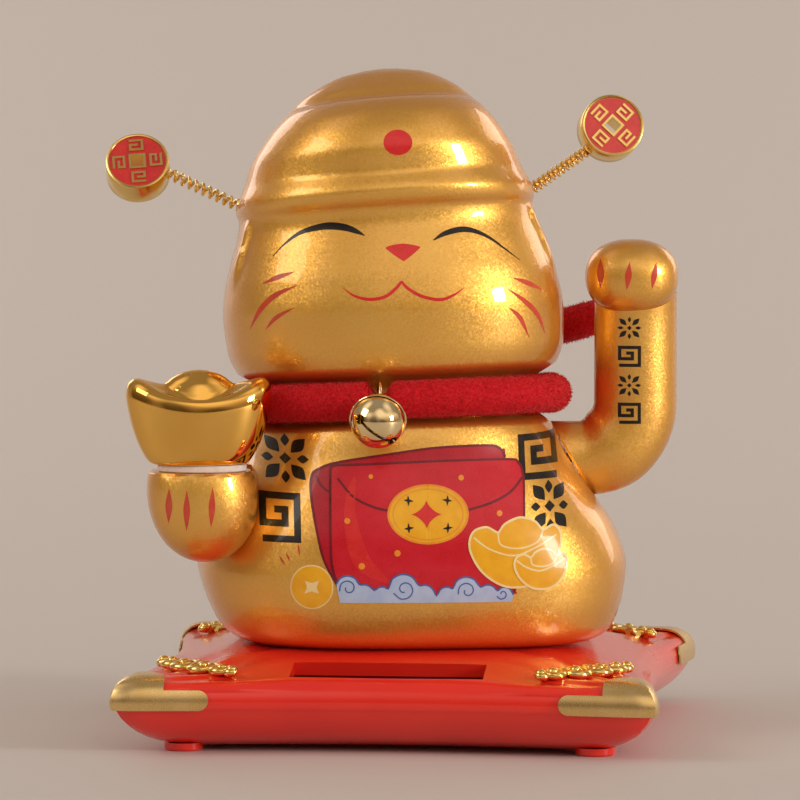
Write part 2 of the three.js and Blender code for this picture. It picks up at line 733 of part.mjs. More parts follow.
function collarGeometry() {
  const sides = 8;
  const angles = collarAngles();
  const columns = angles.length;
  const positions = [];
  const index = [];
  const up = new THREE.Vector3(0, 0, 1);
  angles.forEach((angle, i) => {
    const centre = collarPoint(angle);
    const along = collarPoint(angle + 0.01).sub(collarPoint(angle - 0.01)).normalize();
    const out = new THREE.Vector3().crossVectors(along, up).normalize();
    const over = new THREE.Vector3().crossVectors(out, along);
    for (let k = 0; k < sides; k += 1) {
      const turn = (k / sides) * 2 * Math.PI;
      const point = centre.clone().addScaledVector(out, stemRadius(angle) * Math.cos(turn));
      point.addScaledVector(over, stemRadius(angle) * Math.sin(turn));
      positions.push(point.x, point.y, point.z);
      const next = ((i + 1) % columns) * sides;
      const beside = (k + 1) % sides;
      const a = i * sides;
      index.push(a + k, next + k, next + beside, a + k, next + beside, a + beside);
    }
  });
  const ring = new THREE.BufferGeometry();
  ring.setAttribute('position', new THREE.Float32BufferAttribute(positions, 3));
  ring.setIndex(index);
  const tail = [
    new THREE.Vector3(-6, 28.3, 62.2),
    new THREE.Vector3(5, 31.2, 65),
    new THREE.Vector3(15, 29.8, 69.6),
    new THREE.Vector3(25, 23.9, 73.5),
    new THREE.Vector3(32, 18.4, 75.6),
    new THREE.Vector3(37.5, 16.8, 77.2),
  ];
  return toGeometry(toSolid(ring).add(toSolid(plainTube(tail, 3.6))));
}

// A direction straight ahead and down by an angle.
function aheadAndDown(drop) {
  return new THREE.Vector3(0, -Math.cos(drop), -Math.sin(drop));
}

const stemAtBell = collarPoint(bell.around);
const bellEye = stemAtBell.clone().addScaledVector(aheadAndDown(bell.ringDrop),
  bell.ringRadius);
const bellAxis = aheadAndDown(bell.drop);
const bellCentre = bellEye.clone().addScaledVector(bellAxis,
  bell.eyeRadius + bell.radius - 0.2);

function bellRing() {
  const geometry = new THREE.TorusGeometry(bell.ringRadius, bell.ringWire, 5, 20);
  geometry.rotateY(Math.PI / 2);
  return placed(geometry, stemAtBell.x, stemAtBell.y, stemAtBell.z);
}

// Puts a shape made around the origin, mouth down, onto the bell's slanted axis.
function onBell(geometry) {
  const turn = new THREE.Quaternion().setFromUnitVectors(
    new THREE.Vector3(0, 0, -1), bellAxis);
  return placed(geometry.applyQuaternion(turn), bellCentre.x, bellCentre.y, bellCentre.z);
}

function arcProfile(radius, from, to, steps) {
  const points = [];
  for (let i = 0; i <= steps; i += 1) {
    const angle = from + ((to - from) * i) / steps;
    points.push([radius * Math.cos(angle), radius * Math.sin(angle)]);
  }
  return points;
}

function bellUpper() {
  const lowest = 0.04;
  const outer = arcProfile(bell.radius, lowest, Math.PI / 2, 5);
  const inner = arcProfile(bell.radius - bell.wall, Math.PI / 2, lowest, 3);
  const flange = [[bell.radius + 0.25, 0.2], [bell.radius + 0.25, 0.6]];
  inner[0][0] = 0;
  outer[outer.length - 1][0] = 0;
  const dome = toSolid(turned([...flange, ...outer.slice(1), ...inner, flange[0]], 0, 0, 0, 16));
  const eye = new THREE.TorusGeometry(bell.eyeRadius, 0.3, 5, 12);
  eye.rotateX(Math.PI / 2);
  const up = bell.radius + bell.eyeRadius - 0.2;
  return onBell(toGeometry(dome.add(toSolid(placed(eye, 0, 0, up)))));
}

function bellLower() {
  const highest = -0.06;
  const outer = arcProfile(bell.radius, -Math.PI / 2, highest, 5);
  const inner = arcProfile(bell.radius - bell.wall, highest, -Math.PI / 2, 3);
  inner[inner.length - 1][0] = 0;
  outer[0][0] = 0;
  let cup = toSolid(turned([...outer, ...inner], 0, 0, 0, 16));
  const wide = bell.radius + 1;
  cup = cup.subtract(boxSolid(-wide, wide, -0.35, 0.35, -wide, -bell.radius * 0.72));
  for (const side of [-1, 1]) {
    const start = new THREE.Vector3(side * 1.2, 0, -1.2);
    const end = new THREE.Vector3(side * 5, 0, -5);
    cup = cup.subtract(toSolid(barGeometry(start, end, 0.75, 10)));
  }
  return onBell(toGeometry(cup));
}

function bellClapper() {
  const lowest = bellCentre.clone();
  lowest.z -= bell.radius - bell.wall - 1.5;
  return ballGeometry(lowest, new THREE.Vector3(1.2, 1.2, 1.2), 2, 12, 8);
}

// ---------------------------------------------------------------- springs and coins
const antennae = [
  {
    name: 'left',
    root: new THREE.Vector3(-33.4, -0.5, 99.9),
    tip: new THREE.Vector3(-46.4, -1, 106),
    coin: new THREE.Vector3(-51.8, -1, 106.8),
    facing: new THREE.Vector3(-0.055, -0.832, 0.552),
    roll: degrees(4),
  },
  {
    name: 'right',
    root: new THREE.Vector3(23.9, 0, 103.2),
    tip: new THREE.Vector3(33.6, 0, 109.9),
    coin: new THREE.Vector3(37.9, 0, 114),
    facing: new THREE.Vector3(0.1, -0.957, 0.272),
    roll: degrees(46),
  },
];

function springGeometry(antenna) {
  const span = antenna.tip.clone().sub(antenna.root);
  const length = span.length() - 1.25;
  const turns = length / spring.pitch;
  const perTurn = 6;
  const count = Math.round(turns * perTurn);
  const turn = new THREE.Quaternion().setFromUnitVectors(
    new THREE.Vector3(0, 0, 1), span.clone().normalize());
  const points = [];
  for (let i = 0; i <= count; i += 1) {
    const angle = (i / perTurn) * 2 * Math.PI;
    const point = new THREE.Vector3(spring.radius * Math.cos(angle),
      spring.radius * Math.sin(angle), 0.4 + (length * i) / count);
    points.push(point.applyQuaternion(turn).add(antenna.root));
  }
  const shape = new THREE.Shape().absarc(0, 0, spring.wire, 0, 2 * Math.PI);
  return new THREE.ExtrudeGeometry(shape, {
    extrudePath: new THREE.CatmullRomCurve3(points),
    steps: count,
    curveSegments: 2,
    bevelEnabled: false,
  });
}

function coinMesh(antenna) {
  const half = coin.thickness / 2;
  const drum = (radius, from, to) => postSolid(0, 0, from, to, radius, 24);
  const square = (size, from, to) => boxSolid(-size, size, -size, size, from, to);
  const side = coin.hole / 2;
  let solid = drum(coin.radius, -half, half);
  for (const face of [-1, 1]) {
    const low = face > 0 ? half - coin.recess : -half - 1;
    const high = face > 0 ? half + 1 : -half + coin.recess;
    const dish = drum(coin.radius - coin.rim, low, high);
    solid = solid.subtract(dish.subtract(square(side + 0.45, low - 1, high + 1)));
  }
  solid = solid.subtract(square(side, -half - 1, half + 1));
  const mesh = new THREE.Mesh(toGeometry(solid), brightGold);
  mesh.name = `coin_${antenna.name}`;
  const turn = new THREE.Quaternion().setFromUnitVectors(
    new THREE.Vector3(0, -1, 0), antenna.facing.clone().normalize());
  const upright = new THREE.Quaternion().setFromUnitVectors(
    new THREE.Vector3(0, 0, 1), new THREE.Vector3(0, -1, 0));
  const roll = new THREE.Quaternion().setFromAxisAngle(new THREE.Vector3(0, 0, 1),
    antenna.roll);
  mesh.quaternion.copy(turn).multiply(upright).multiply(roll);
  mesh.position.copy(antenna.coin);
  return mesh;
}

// ---------------------------------------------------------------- ingot
const ingot = { x: -41.3, y: -25, z: pawTop + 0.8 + 2 * gap };

// Outline of the boat-shaped ingot from its foot, over the rim, to the dome on top:
// half length, half depth, height, and how much higher the two ends are.
const ingotLevels = [
  [8.4, 5.2, 0, 0],
  [9.3, 5.8, 0.4, 0],
  [11.6, 7.2, 4, 0.4],
  [12.6, 7.7, 6.4, 1],
  [13.6, 8.1, 10.2, 2.6],
  [13.3, 7.9, 11.6, 3.2],
  [12.4, 7.4, 12.3, 3.5],
  [11.2, 6.7, 12.4, 3.6],
  [7.9, 5.5, 11.9, 3.3],
  [6.7, 5.1, 12.4, 2.6],
  [6, 4.7, 13.6, 1.7],
  [5, 4, 15.2, 0.9],
  [3.5, 2.8, 16.6, 0.3],
  [1.2, 1, 17.5, 0],
];

function ingotGeometry() {
  const columns = 24;
  return skin(ingotLevels.map(([halfLength, halfDepth, height, endRise]) => {
    const ring = [];
    for (let i = 0; i < columns; i += 1) {
      const angle = (i / columns) * 2 * Math.PI;
      const x = halfLength * Math.cos(angle);
      const rise = endRise * Math.cos(angle) ** 2;
      ring.push(new THREE.Vector3(ingot.x + x, ingot.y + halfDepth * Math.sin(angle),
        ingot.z + height + rise));
    }
    return ring;
  }));
}

function padGeometry() {
  const geometry = new THREE.CylinderGeometry(1, 1, 0.8, 28);
  geometry.rotateX(Math.PI / 2);
  geometry.scale(8.3, 5.1, 1);
  return placed(geometry, ingot.x + 0.6, ingot.y, pawTop + gap + 0.4);
}

// ---------------------------------------------------------------- assembly
const cat = new THREE.Group();
const figureGroup = new THREE.Group();
figureGroup.rotation.z = figure.yaw;
cat.add(figureGroup);

function addPiece(group, name, geometry, material) {
  const mesh = new THREE.Mesh(geometry, material);
  mesh.name = name;
  group.add(mesh);
}

addPiece(cat, 'base_top', baseTop(), redPlastic);
addPiece(cat, 'base_tray', baseTray(), redPlastic);
for (const corner of corners) {
  addPiece(cat, `corner_cap_${corner.name}`, cornerCap(corner), satinGold);
  addPiece(cat, `cloud_${corner.name}`, cloudOrnament(corner), brightGold);
  addPiece(cat, `base_screw_${corner.name}`, screwGeometry(corner.x * trayScrewAt,
    corner.y * trayScrewAt, 0.3, 12.6), steel);
}
addPiece(cat, 'solar_cell', solarCell(), darkCell);
addPiece(cat, 'circuit_board', circuitBoard(), greenBoard);
addPiece(cat, 'control_chip', controlChip(), blackEpoxy);
addPiece(cat, 'storage_capacitor', storageCapacitor(), blackEpoxy);
addPiece(cat, 'coil_bobbin', coilBobbin(), whiteNylon);
addPiece(cat, 'coil_winding', coilWinding(), copper);
addPiece(cat, 'solar_lead_red', solarLead(-4), redLead);
addPiece(cat, 'solar_lead_black', solarLead(-7), blackLead);
for (const place of bodyScrews) {
  const at = turnedByYaw(place.x, place.y);
  addPiece(cat, `body_screw_${place.name}`, screwGeometry(at.x, at.y, 13.6, 24), steel);
}

const shells = bodyShells();
addPiece(figureGroup, 'body_front_shell', shells.front, goldPaint);
addPiece(figureGroup, 'body_back_shell', shells.back, goldPaint);
addPiece(figureGroup, 'shoulder_bearing', ringBar(onAxle(-5), onAxle(-0.7), 2.8,
  axle.radius + gap), whiteNylon);
addPiece(figureGroup, 'axle_post', axlePost(), whiteNylon);

const armParts = armShells();
addPiece(figureGroup, 'arm_front_shell', armParts.front, goldPaint);
addPiece(figureGroup, 'arm_back_shell', armParts.back, goldPaint);
addPiece(figureGroup, 'arm_axle', barGeometry(onAxle(axle.inner), onAxle(axle.outer),
  axle.radius), steel);
addPiece(figureGroup, 'axle_clip', ringBar(onAxle(-7), onAxle(-6), 2.6,
  axle.radius + gap), steel);
addPiece(figureGroup, 'pendulum_lever', pendulumLever(), whiteNylon);
addPiece(figureGroup, 'pendulum_magnet', magnetGeometry(), steel);

addPiece(figureGroup, 'collar', collarGeometry(), redChenille);
addPiece(figureGroup, 'bell_ring', bellRing(), brightGold);
addPiece(figureGroup, 'bell_upper', bellUpper(), brightGold);
addPiece(figureGroup, 'bell_lower', bellLower(), brightGold);
addPiece(figureGroup, 'bell_clapper', bellClapper(), steel);

for (const antenna of antennae) {
  addPiece(figureGroup, `spring_${antenna.name}`, springGeometry(antenna), brightGold);
  figureGroup.add(coinMesh(antenna));
}
addPiece(figureGroup, 'ingot', ingotGeometry(), mirrorGold);
addPiece(figureGroup, 'ingot_pad', padGeometry(), foam);

export default cat;
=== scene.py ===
import json
import math
import random

import bmesh
import bpy
from mathutils import Matrix, Vector, noise
from mathutils.bvhtree import BVHTree


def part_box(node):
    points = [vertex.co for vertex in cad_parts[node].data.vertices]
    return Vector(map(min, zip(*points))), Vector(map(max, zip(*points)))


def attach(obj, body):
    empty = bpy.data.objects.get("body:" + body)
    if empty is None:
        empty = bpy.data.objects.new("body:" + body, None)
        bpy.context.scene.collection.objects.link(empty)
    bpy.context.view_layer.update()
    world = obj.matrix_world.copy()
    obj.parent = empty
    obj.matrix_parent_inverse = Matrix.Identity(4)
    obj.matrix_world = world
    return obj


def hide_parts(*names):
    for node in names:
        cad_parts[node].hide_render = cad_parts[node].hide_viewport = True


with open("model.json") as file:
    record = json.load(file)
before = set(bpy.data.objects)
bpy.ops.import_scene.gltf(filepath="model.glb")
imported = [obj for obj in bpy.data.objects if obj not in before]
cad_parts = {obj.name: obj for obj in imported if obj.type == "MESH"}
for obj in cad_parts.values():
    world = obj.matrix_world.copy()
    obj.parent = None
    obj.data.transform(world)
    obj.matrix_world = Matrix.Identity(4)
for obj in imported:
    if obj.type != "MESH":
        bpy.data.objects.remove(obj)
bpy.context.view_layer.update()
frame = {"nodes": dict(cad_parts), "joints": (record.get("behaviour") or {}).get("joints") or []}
joints = {joint["name"]: joint for joint in frame["joints"]}

MM = 0.001
YAW = math.radians(10)
BASE = Matrix.Scale(MM, 4)
CAT = Matrix.Rotation(YAW, 4, "Z") @ BASE
GAP = 0.3
SHOWN_SEAM = 0.12  # a moulded seam as it looks once painted

CORNERS = {
    "front_left": Vector((-1, -1)),
    "front_right": Vector((1, -1)),
    "rear_right": Vector((1, 1)),
    "rear_left": Vector((-1, 1)),
}


def in_cat(point):
    """A place in the frame, in metres, as millimetres in the cat's own frame."""
    return CAT.inverted() @ Vector(point)


def joint_place(name):
    return in_cat(joints[name]["pos_m"])


def smooth_step(value, low, high):
    t = min(max((value - low) / (high - low), 0), 1)
    return t * t * (3 - 2 * t)


def around(count):
    """Evenly spaced angles of one full turn."""
    return [i / count * math.tau for i in range(count)]


def half_turn(start):
    """Evenly spaced angles of half a turn from a start angle."""
    return [start + math.pi * i / 24 for i in range(25)]


def polar(radius, angle, z):
    """A point at a distance and an angle from the Z axis."""
    return Vector((radius * math.cos(angle), radius * math.sin(angle), z))


# ------------------------------------------------------------------ curves
def monotone_curve(knots, values):
    """A curve through the given values that never overshoots them."""
    slopes = [(values[i + 1] - values[i]) / (knots[i + 1] - knots[i])
              for i in range(len(knots) - 1)]
    tangents = [slopes[0]]
    for before, after in zip(slopes, slopes[1:]):
        flat = before * after <= 0
        tangents.append(0 if flat else 2 * before * after / (before + after))
    tangents.append(slopes[-1])

    def curve(x):
        i = 0
        while i < len(knots) - 2 and x > knots[i + 1]:
            i += 1
        width = knots[i + 1] - knots[i]
        t = min(max((x - knots[i]) / width, 0), 1)
        h = t * t * (3 - 2 * t)
        bow = t * (1 - t) * width * ((1 - t) * tangents[i] - t * tangents[i + 1])
        return values[i] * (1 - h) + values[i + 1] * h + bow

    return curve


def smooth_path(points, steps, closed=False):
    """A rounded line through the points, with a number of steps between each two."""
    points = [Vector(p) for p in points]
    count = len(points)
    spans = count if closed else count - 1

    def at(i):
        return points[i % count] if closed else points[min(max(i, 0), count - 1)]

    path = []
    for i in range(spans):
        a, b, c, d = at(i - 1), at(i), at(i + 1), at(i + 2)
        for step in range(steps):
            t = step / steps
            path.append(0.5 * (2 * b + (c - a) * t + (2 * a - 5 * b + 4 * c - d) * t ** 2
                               + (3 * b - a - 3 * c + d) * t ** 3))
    if not closed:
        path.append(points[-1])
    return path


# ------------------------------------------------------------------ shapes
# A shape is a pair: its points and its faces.
def skin(rings, closed=True):
    """Joins rings of points into a skin; closed puts a face over each end."""
    count = len(rings[0])
    points = [Vector(p) for ring in rings for p in ring]
    faces = []
    for row in range(len(rings) - 1):
        for i in range(count):
            a = row * count + i
            b = row * count + (i + 1) % count
            faces.append((a, b, b + count, a + count))
    if closed:
        last = (len(rings) - 1) * count
        faces.append(tuple(reversed(range(count))))
        faces.append(tuple(range(last, last + count)))
    return points, faces


def ring_skin(rings):
    """A skin whose last ring joins its first, as on a doughnut."""
    count = len(rings[0])
    points, faces = skin(rings, closed=False)
    last = (len(rings) - 1) * count
    for i in range(count):
        j = (i + 1) % count
        faces.append((last + i, last + j, j, i))
    return points, faces


def cross_section(centre, along, radius, sides, squash=1, sideways=Vector((0, 1, 0))):
    across = sideways.cross(along).normalized()
    other = along.cross(across)
    return [centre + across * radius * math.cos(angle)
            + other * radius * squash * math.sin(angle) for angle in around(sides)]


def directions(path, closed=False):
    """The way the path runs at each of its points."""
    count = len(path)
    found = []
    for i in range(count):
        after = path[(i + 1) % count] if closed else path[min(i + 1, count - 1)]
        before = path[i - 1] if closed else path[max(i - 1, 0)]
        found.append((after - before).normalized())
    return found


def tube(path, radius, sides=12, squash=1):
    """A tube along a path; the radius is a number or a function of the share covered."""
    along = directions(path)
    sideways = Vector((0, 1, 0))
    rings = []
    for i, centre in enumerate(path):
        size = radius(i / (len(path) - 1)) if callable(radius) else radius
        if squash == 1:
            sideways = (sideways - along[i] * sideways.dot(along[i])).normalized()
        rings.append(cross_section(centre, along[i], size, sides, squash, sideways))
    return skin(rings)


def ball(centre, radii, squareness=2, columns=72, rows=48):
    """A ball with a radius along each axis; a squareness above 2 makes it boxier."""
    rings = []
    for row in range(1, rows):
        down = row / rows * math.pi
        ring = []
        for angle in around(columns):
            unit = polar(math.sin(down), angle, -math.cos(down))
            size = sum(abs(part) ** squareness for part in unit)
            unit *= size ** (-1 / squareness)
            ring.append(Vector(centre) + Vector(map(lambda u, r: u * r, unit, radii)))
        rings.append(ring)
    return skin(rings)


def turned(profile, segments=72):
    """A closed profile of (radius, height) points turned about Z."""
    return ring_skin([[polar(r, angle, z) for angle in around(segments)]
                      for r, z in profile])


def moved(shape, matrix):
    points, faces = shape
    return [matrix @ p for p in points], faces


def joined(*shapes):
    """Several shapes as one, without cutting them to each other."""
    points, faces = [], []
    for more_points, more_faces in shapes:
        start = len(points)
        points += more_points
        faces += [tuple(start + i for i in face) for face in more_faces]
    return points, faces


def bar(start, end, radius, sides=48):
    """A round bar with flat ends."""
    start, end = Vector(start), Vector(end)
    along = (end - start).normalized()
    sideways = along.orthogonal().normalized()
    return skin([cross_section(p, along, radius, sides, 1, sideways) for p in (start, end)])


def box_shape(low, high):
    corners = [Vector((x, y, z)) for z in (low[2], high[2])
               for x, y in ((low[0], low[1]), (high[0], low[1]),
                            (high[0], high[1]), (low[0], high[1]))]
    return skin([corners[:4], corners[4:]])


def to_mesh(shape):
    if isinstance(shape, bpy.types.Mesh):
        return shape
    mesh = bpy.data.meshes.new("shape")
    mesh.from_pydata([tuple(p) for p in shape[0]], [], shape[1])
    return mesh


def carve(shape, *steps):
    """Adds to or cuts a shape in turn; each step is an operation and another shape."""
    scene = bpy.context.scene.collection
    target = bpy.data.objects.new("carved", to_mesh(shape))
    scene.objects.link(target)
    tools = []
    for operation, other in steps:
        tool = bpy.data.objects.new("tool", to_mesh(other))
        scene.objects.link(tool)
        modifier = target.modifiers.new("step", "BOOLEAN")
        modifier.operation = operation
        modifier.solver = "EXACT"
        modifier.object = tool
        tools.append(tool)
    depsgraph = bpy.context.evaluated_depsgraph_get()
    mesh = bpy.data.meshes.new_from_object(target.evaluated_get(depsgraph))
    for extra in [target, *tools]:
        bpy.data.objects.remove(extra)
    return mesh


def everything(bm):
    return bm.verts[:] + bm.edges[:] + bm.faces[:]


def cut_off(shape, point, normal, ease=0):
    """Keeps what lies on the normal's side of a plane and closes the cut; ease softens
    the edge of the cut by that much."""
    bm = bmesh.new()
    bm.from_mesh(to_mesh(shape))
    point, normal = Vector(point), Vector(normal)
    if ease:
        bmesh.ops.bisect_plane(bm, geom=everything(bm), plane_co=point + normal * ease * 1.4,
                               plane_no=normal)
    cut = bmesh.ops.bisect_plane(bm, geom=everything(bm), plane_co=point, plane_no=normal,
                                 clear_inner=True)
    rim = [e for e in cut["geom_cut"] if isinstance(e, bmesh.types.BMEdge)]
    bm.normal_update()
    for vert in {v for edge in rim for v in edge.verts}:
        inward = vert.normal - normal * vert.normal.dot(normal)
        vert.co -= inward * ease
    bmesh.ops.triangle_fill(bm, edges=rim, use_beauty=True)
    bmesh.ops.recalc_face_normals(bm, faces=bm.faces[:])
    mesh = bpy.data.meshes.new("cut")
    bm.to_mesh(mesh)
    bm.free()
    return mesh


def halves(shape):
    """The front and the back half of a shell that parts along the cat's X-Z plane."""
    front, back = (cut_off(to_mesh(shape).copy(), (0, side * SHOWN_SEAM / 2, 0),
                           (0, side, 0), ease=0.22) for side in (-1, 1))
    return front, back


def add_piece(name, shape, material, body="root", replaces=(), place=CAT, sharp=35):
    """Adds a shape to the scene on a body; edges steeper than sharp degrees stay crisp."""
    mesh = to_mesh(shape)
    mesh.transform(place)
    mesh.name = name
    mesh.materials.clear()
    mesh.materials.append(material)
    mesh.shade_smooth()
    mesh.set_sharp_from_angle(angle=math.radians(sharp))
    piece = bpy.data.objects.new(name, mesh)
    bpy.context.scene.collection.objects.link(piece)
    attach(piece, body)
    if replaces:
        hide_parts(*([replaces] if isinstance(replaces, str) else replaces))
    return piece


# ------------------------------------------------------------------ materials
class Tree:
    """A node tree, with short ways to add and join nodes."""

    def __init__(self, tree):
        self.tree = tree

    def add(self, kind, **settings):
        node = self.tree.nodes.new(kind)
        for key, value in settings.items():
            setattr(node, key, value)
        return node

    def link(self, source, target):
        self.tree.links.new(source, target)

    def range(self, source, low, high, new_low, new_high):
        node = self.add("ShaderNodeMapRange")
        for key, value in zip(("From Min", "From Max", "To Min", "To Max"),
                              (low, high, new_low, new_high)):
            node.inputs[key].default_value = value
        self.link(source, node.inputs["Value"])
        return node.outputs["Result"]

    def blend(self, factor, first, second):
        node = self.add("ShaderNodeMix", data_type="RGBA")
        self.link(factor, node.inputs["Factor"])
        for socket, value in ((node.inputs["A"], first), (node.inputs["B"], second)):
            if isinstance(value, tuple):
                socket.default_value = (*value, 1)
            else:
                self.link(value, socket)
        return node.outputs["Result"]


class Nodes(Tree):
    """The node tree of a material with one Principled shader."""

    def __init__(self, name, slot):
        self.material = bpy.data.materials.new(name)
        self.material["slot"] = slot
        self.material.use_nodes = True
        super().__init__(self.material.node_tree)
        self.shader = self.tree.nodes["Principled BSDF"]
        self.place = self.add("ShaderNodeTexCoord").outputs["Object"]

    def set(self, **values):
        """Sets constants on the shader's own sockets, named as the sockets are."""
        for key, value in values.items():
            socket = self.shader.inputs[key.replace("_", " ").title().replace("Ior", "IOR")]
            socket.default_value = (*value, 1) if isinstance(value, tuple) else value

    def noise(self, size, detail=2.0):
        """A noise whose features are about size millimetres across."""
        node = self.add("ShaderNodeTexNoise")
        node.inputs["Scale"].default_value = 1 / (size * MM)
        node.inputs["Detail"].default_value = detail
        self.link(self.place, node.inputs["Vector"])
        return node.outputs["Fac"]

    def bump(self, height, depth):
        """Raises the surface by up to depth millimetres."""
        node = self.add("ShaderNodeBump")
        node.inputs["Distance"].default_value = depth * MM
        self.link(height, node.inputs["Height"])
        return node.outputs["Normal"]

    def color_from(self, source):
        self.link(source, self.shader.inputs["Base Color"])

    def roughness_from(self, source):
        self.link(source, self.shader.inputs["Roughness"])

    def normal_from(self, source):
        self.link(source, self.shader.inputs["Normal"])


def finish_material(name, slot, color, second, roughness, metallic=0.0, coat=0.0,
                    blotch=9.0, grain=0.35, grain_depth=0.004, spread=0.05, **more):
    """A finish whose colour drifts between two tones over blotches, with a fine grain."""
    nodes = Nodes(name, slot)
    nodes.set(metallic=metallic, coat_weight=coat, coat_roughness=0.04, **more)
    nodes.color_from(nodes.blend(nodes.range(nodes.noise(blotch), 0.35, 0.65, 0, 1),
                                 color, second))
    fine = nodes.noise(grain, detail=3)
    nodes.roughness_from(nodes.range(fine, 0.3, 0.7, roughness - spread, roughness + spread))
    nodes.normal_from(nodes.bump(fine, grain_depth))
    return nodes.material


def gold_paint():
    """Gold pearl paint under a clear gloss: every flake tilts its own way."""
    nodes = Nodes("gold_pearl_paint", "gold_paint")
    nodes.set(metallic=0.86, coat_weight=0.8, coat_roughness=0.035, coat_ior=1.5)
    flakes = nodes.add("ShaderNodeTexVoronoi")
    flakes.inputs["Scale"].default_value = 1 / (0.24 * MM)
    nodes.link(nodes.place, flakes.inputs["Vector"])
    tilt = nodes.add("ShaderNodeVectorMath", operation="SUBTRACT")
    tilt.inputs[1].default_value = (0.5, 0.5, 0.5)
    nodes.link(flakes.outputs["Color"], tilt.inputs[0])
    scaled = nodes.add("ShaderNodeVectorMath", operation="SCALE")
    scaled.inputs["Scale"].default_value = 0.15
    nodes.link(tilt.outputs["Vector"], scaled.inputs[0])
    facing = nodes.add("ShaderNodeNewGeometry").outputs["Normal"]
    leaning = nodes.add("ShaderNodeVectorMath", operation="ADD")
    nodes.link(facing, leaning.inputs[0])
    nodes.link(scaled.outputs["Vector"], leaning.inputs[1])
    unit = nodes.add("ShaderNodeVectorMath", operation="NORMALIZE")
    nodes.link(leaning.outputs["Vector"], unit.inputs[0])
    nodes.normal_from(unit.outputs["Vector"])
    cloud = nodes.range(nodes.noise(14), 0.3, 0.7, 0, 1)
    tone = nodes.blend(cloud, (0.86, 0.44, 0.06), (0.90, 0.50, 0.085))
    speck = nodes.range(nodes.noise(0.3, detail=1), 0.35, 0.7, 0, 0.3)
    lit = nodes.blend(speck, tone, (0.98, 0.67, 0.20))
    # painted shade: the colour turns to a darker orange towards the edges, where the surface
    # turns away from view
    edge_shade = nodes.add("ShaderNodeLayerWeight")
    edge_shade.inputs["Blend"].default_value = 0.35
    nodes.color_from(nodes.blend(edge_shade.outputs["Facing"], lit, (0.70, 0.27, 0.03)))
    nodes.roughness_from(nodes.range(nodes.noise(0.5), 0.3, 0.7, 0.36, 0.46))
    return nodes.material


def chenille():
    """Short red pile, with painted shade that makes it darker between its tufts."""
    nodes = Nodes("chenille_pile", "red_chenille")
    nodes.set(sheen_weight=0.08, sheen_roughness=0.4, specular_ior_level=0.2)
    # painted shade: a noise darkens the red in patches, standing for the shade between the tufts
    shade = nodes.range(nodes.noise(0.5, detail=3), 0.3, 0.7, 0, 1)
    nodes.color_from(nodes.blend(shade, (0.42, 0.003, 0.008), (0.72, 0.010, 0.018)))
    nodes.roughness_from(nodes.range(nodes.noise(0.8), 0.3, 0.7, 0.7, 0.95))
    nodes.normal_from(nodes.bump(nodes.noise(0.3, detail=3), 0.12))
    return nodes.material


def ink(name, color, second):
    """A printed colour under the figure's clear gloss."""
    return finish_material(name, "gold_paint", color, second, 0.3, coat=0.25, blotch=2.5,
                           grain=0.2, grain_depth=0.002, specular_ior_level=0.3)


GOLD_PAINT = gold_paint()
RED_ABS = finish_material(
    "red_gloss_abs", "red_plastic", (0.80, 0.022, 0.012), (0.86, 0.030, 0.015), 0.2, coat=0.4,
    blotch=22, grain=1.2, grain_depth=0.003, spread=0.03)
SATIN_GOLD = finish_material(
    "satin_gold_paint", "satin_gold", (0.76, 0.52, 0.20), (0.82, 0.58, 0.25), 0.26, metallic=0.95,
    blotch=4, grain=0.18, grain_depth=0.006)
BRIGHT_GOLD = finish_material(
    "hot_stamped_gold", "bright_gold", (0.86, 0.58, 0.15), (0.92, 0.66, 0.22), 0.16, metallic=1.0,
    blotch=3, grain=0.3, grain_depth=0.01)
MIRROR_GOLD = finish_material(
    "vacuum_plated_gold", "mirror_gold", (0.86, 0.47, 0.09), (0.90, 0.52, 0.12), 0.05,
    metallic=1.0, blotch=10, grain=2.5, grain_depth=0.006, spread=0.015)
BELL_GOLD = finish_material(
    "plated_bell_brass", "plated_brass", (0.86, 0.66, 0.33), (0.90, 0.72, 0.40), 0.08,
    metallic=1.0, blotch=3, grain=0.9, grain_depth=0.004, spread=0.03)
SPRING_GOLD = finish_material(
    "plated_spring_wire", "plated_brass", (0.88, 0.63, 0.22), (0.93, 0.70, 0.30), 0.16,
    metallic=1.0, blotch=1, grain=0.2, grain_depth=0.003)
COIN_GOLD = finish_material(
    "plated_coin_rim", "coin_enamel", (0.85, 0.57, 0.16), (0.90, 0.65, 0.24), 0.22, metallic=1.0,
    blotch=3, grain=0.25, grain_depth=0.008)
COIN_RED = finish_material(
    "red_coin_enamel", "coin_enamel", (0.62, 0.02, 0.02), (0.70, 0.03, 0.025), 0.3, coat=0.6,
    blotch=2, grain=0.3)
CHENILLE = chenille()
FOAM = finish_material(
    "foam_pad", "foam", (0.82, 0.74, 0.70), (0.9, 0.84, 0.8), 0.8, blotch=1, grain=0.15,
    grain_depth=0.05)
STEEL = finish_material(
    "plain_steel", "steel", (0.5, 0.5, 0.51), (0.6, 0.6, 0.6), 0.3, metallic=1.0, blotch=2,
    grain=0.15)
NYLON = finish_material(
    "natural_nylon", "white_nylon", (0.78, 0.77, 0.72), (0.85, 0.84, 0.8), 0.5, blotch=4,
    subsurface_weight=0.1)
CELL = finish_material(
    "dark_solar_cell", "solar_glass", (0.10, 0.008, 0.012), (0.07, 0.006, 0.01), 0.12, coat=0.6,
    blotch=5, grain=1.5)
BOARD = finish_material(
    "green_solder_mask", "green_board", (0.015, 0.12, 0.04), (0.02, 0.18, 0.06), 0.4, blotch=3)
EPOXY = finish_material(
    "black_epoxy", "black_epoxy", (0.012, 0.012, 0.012), (0.03, 0.03, 0.03), 0.45, blotch=1.5,
    grain_depth=0.02)
COPPER = finish_material(
    "enamelled_copper", "copper", (0.62, 0.24, 0.09), (0.72, 0.32, 0.13), 0.25, metallic=1.0,
    blotch=1, grain=0.2)
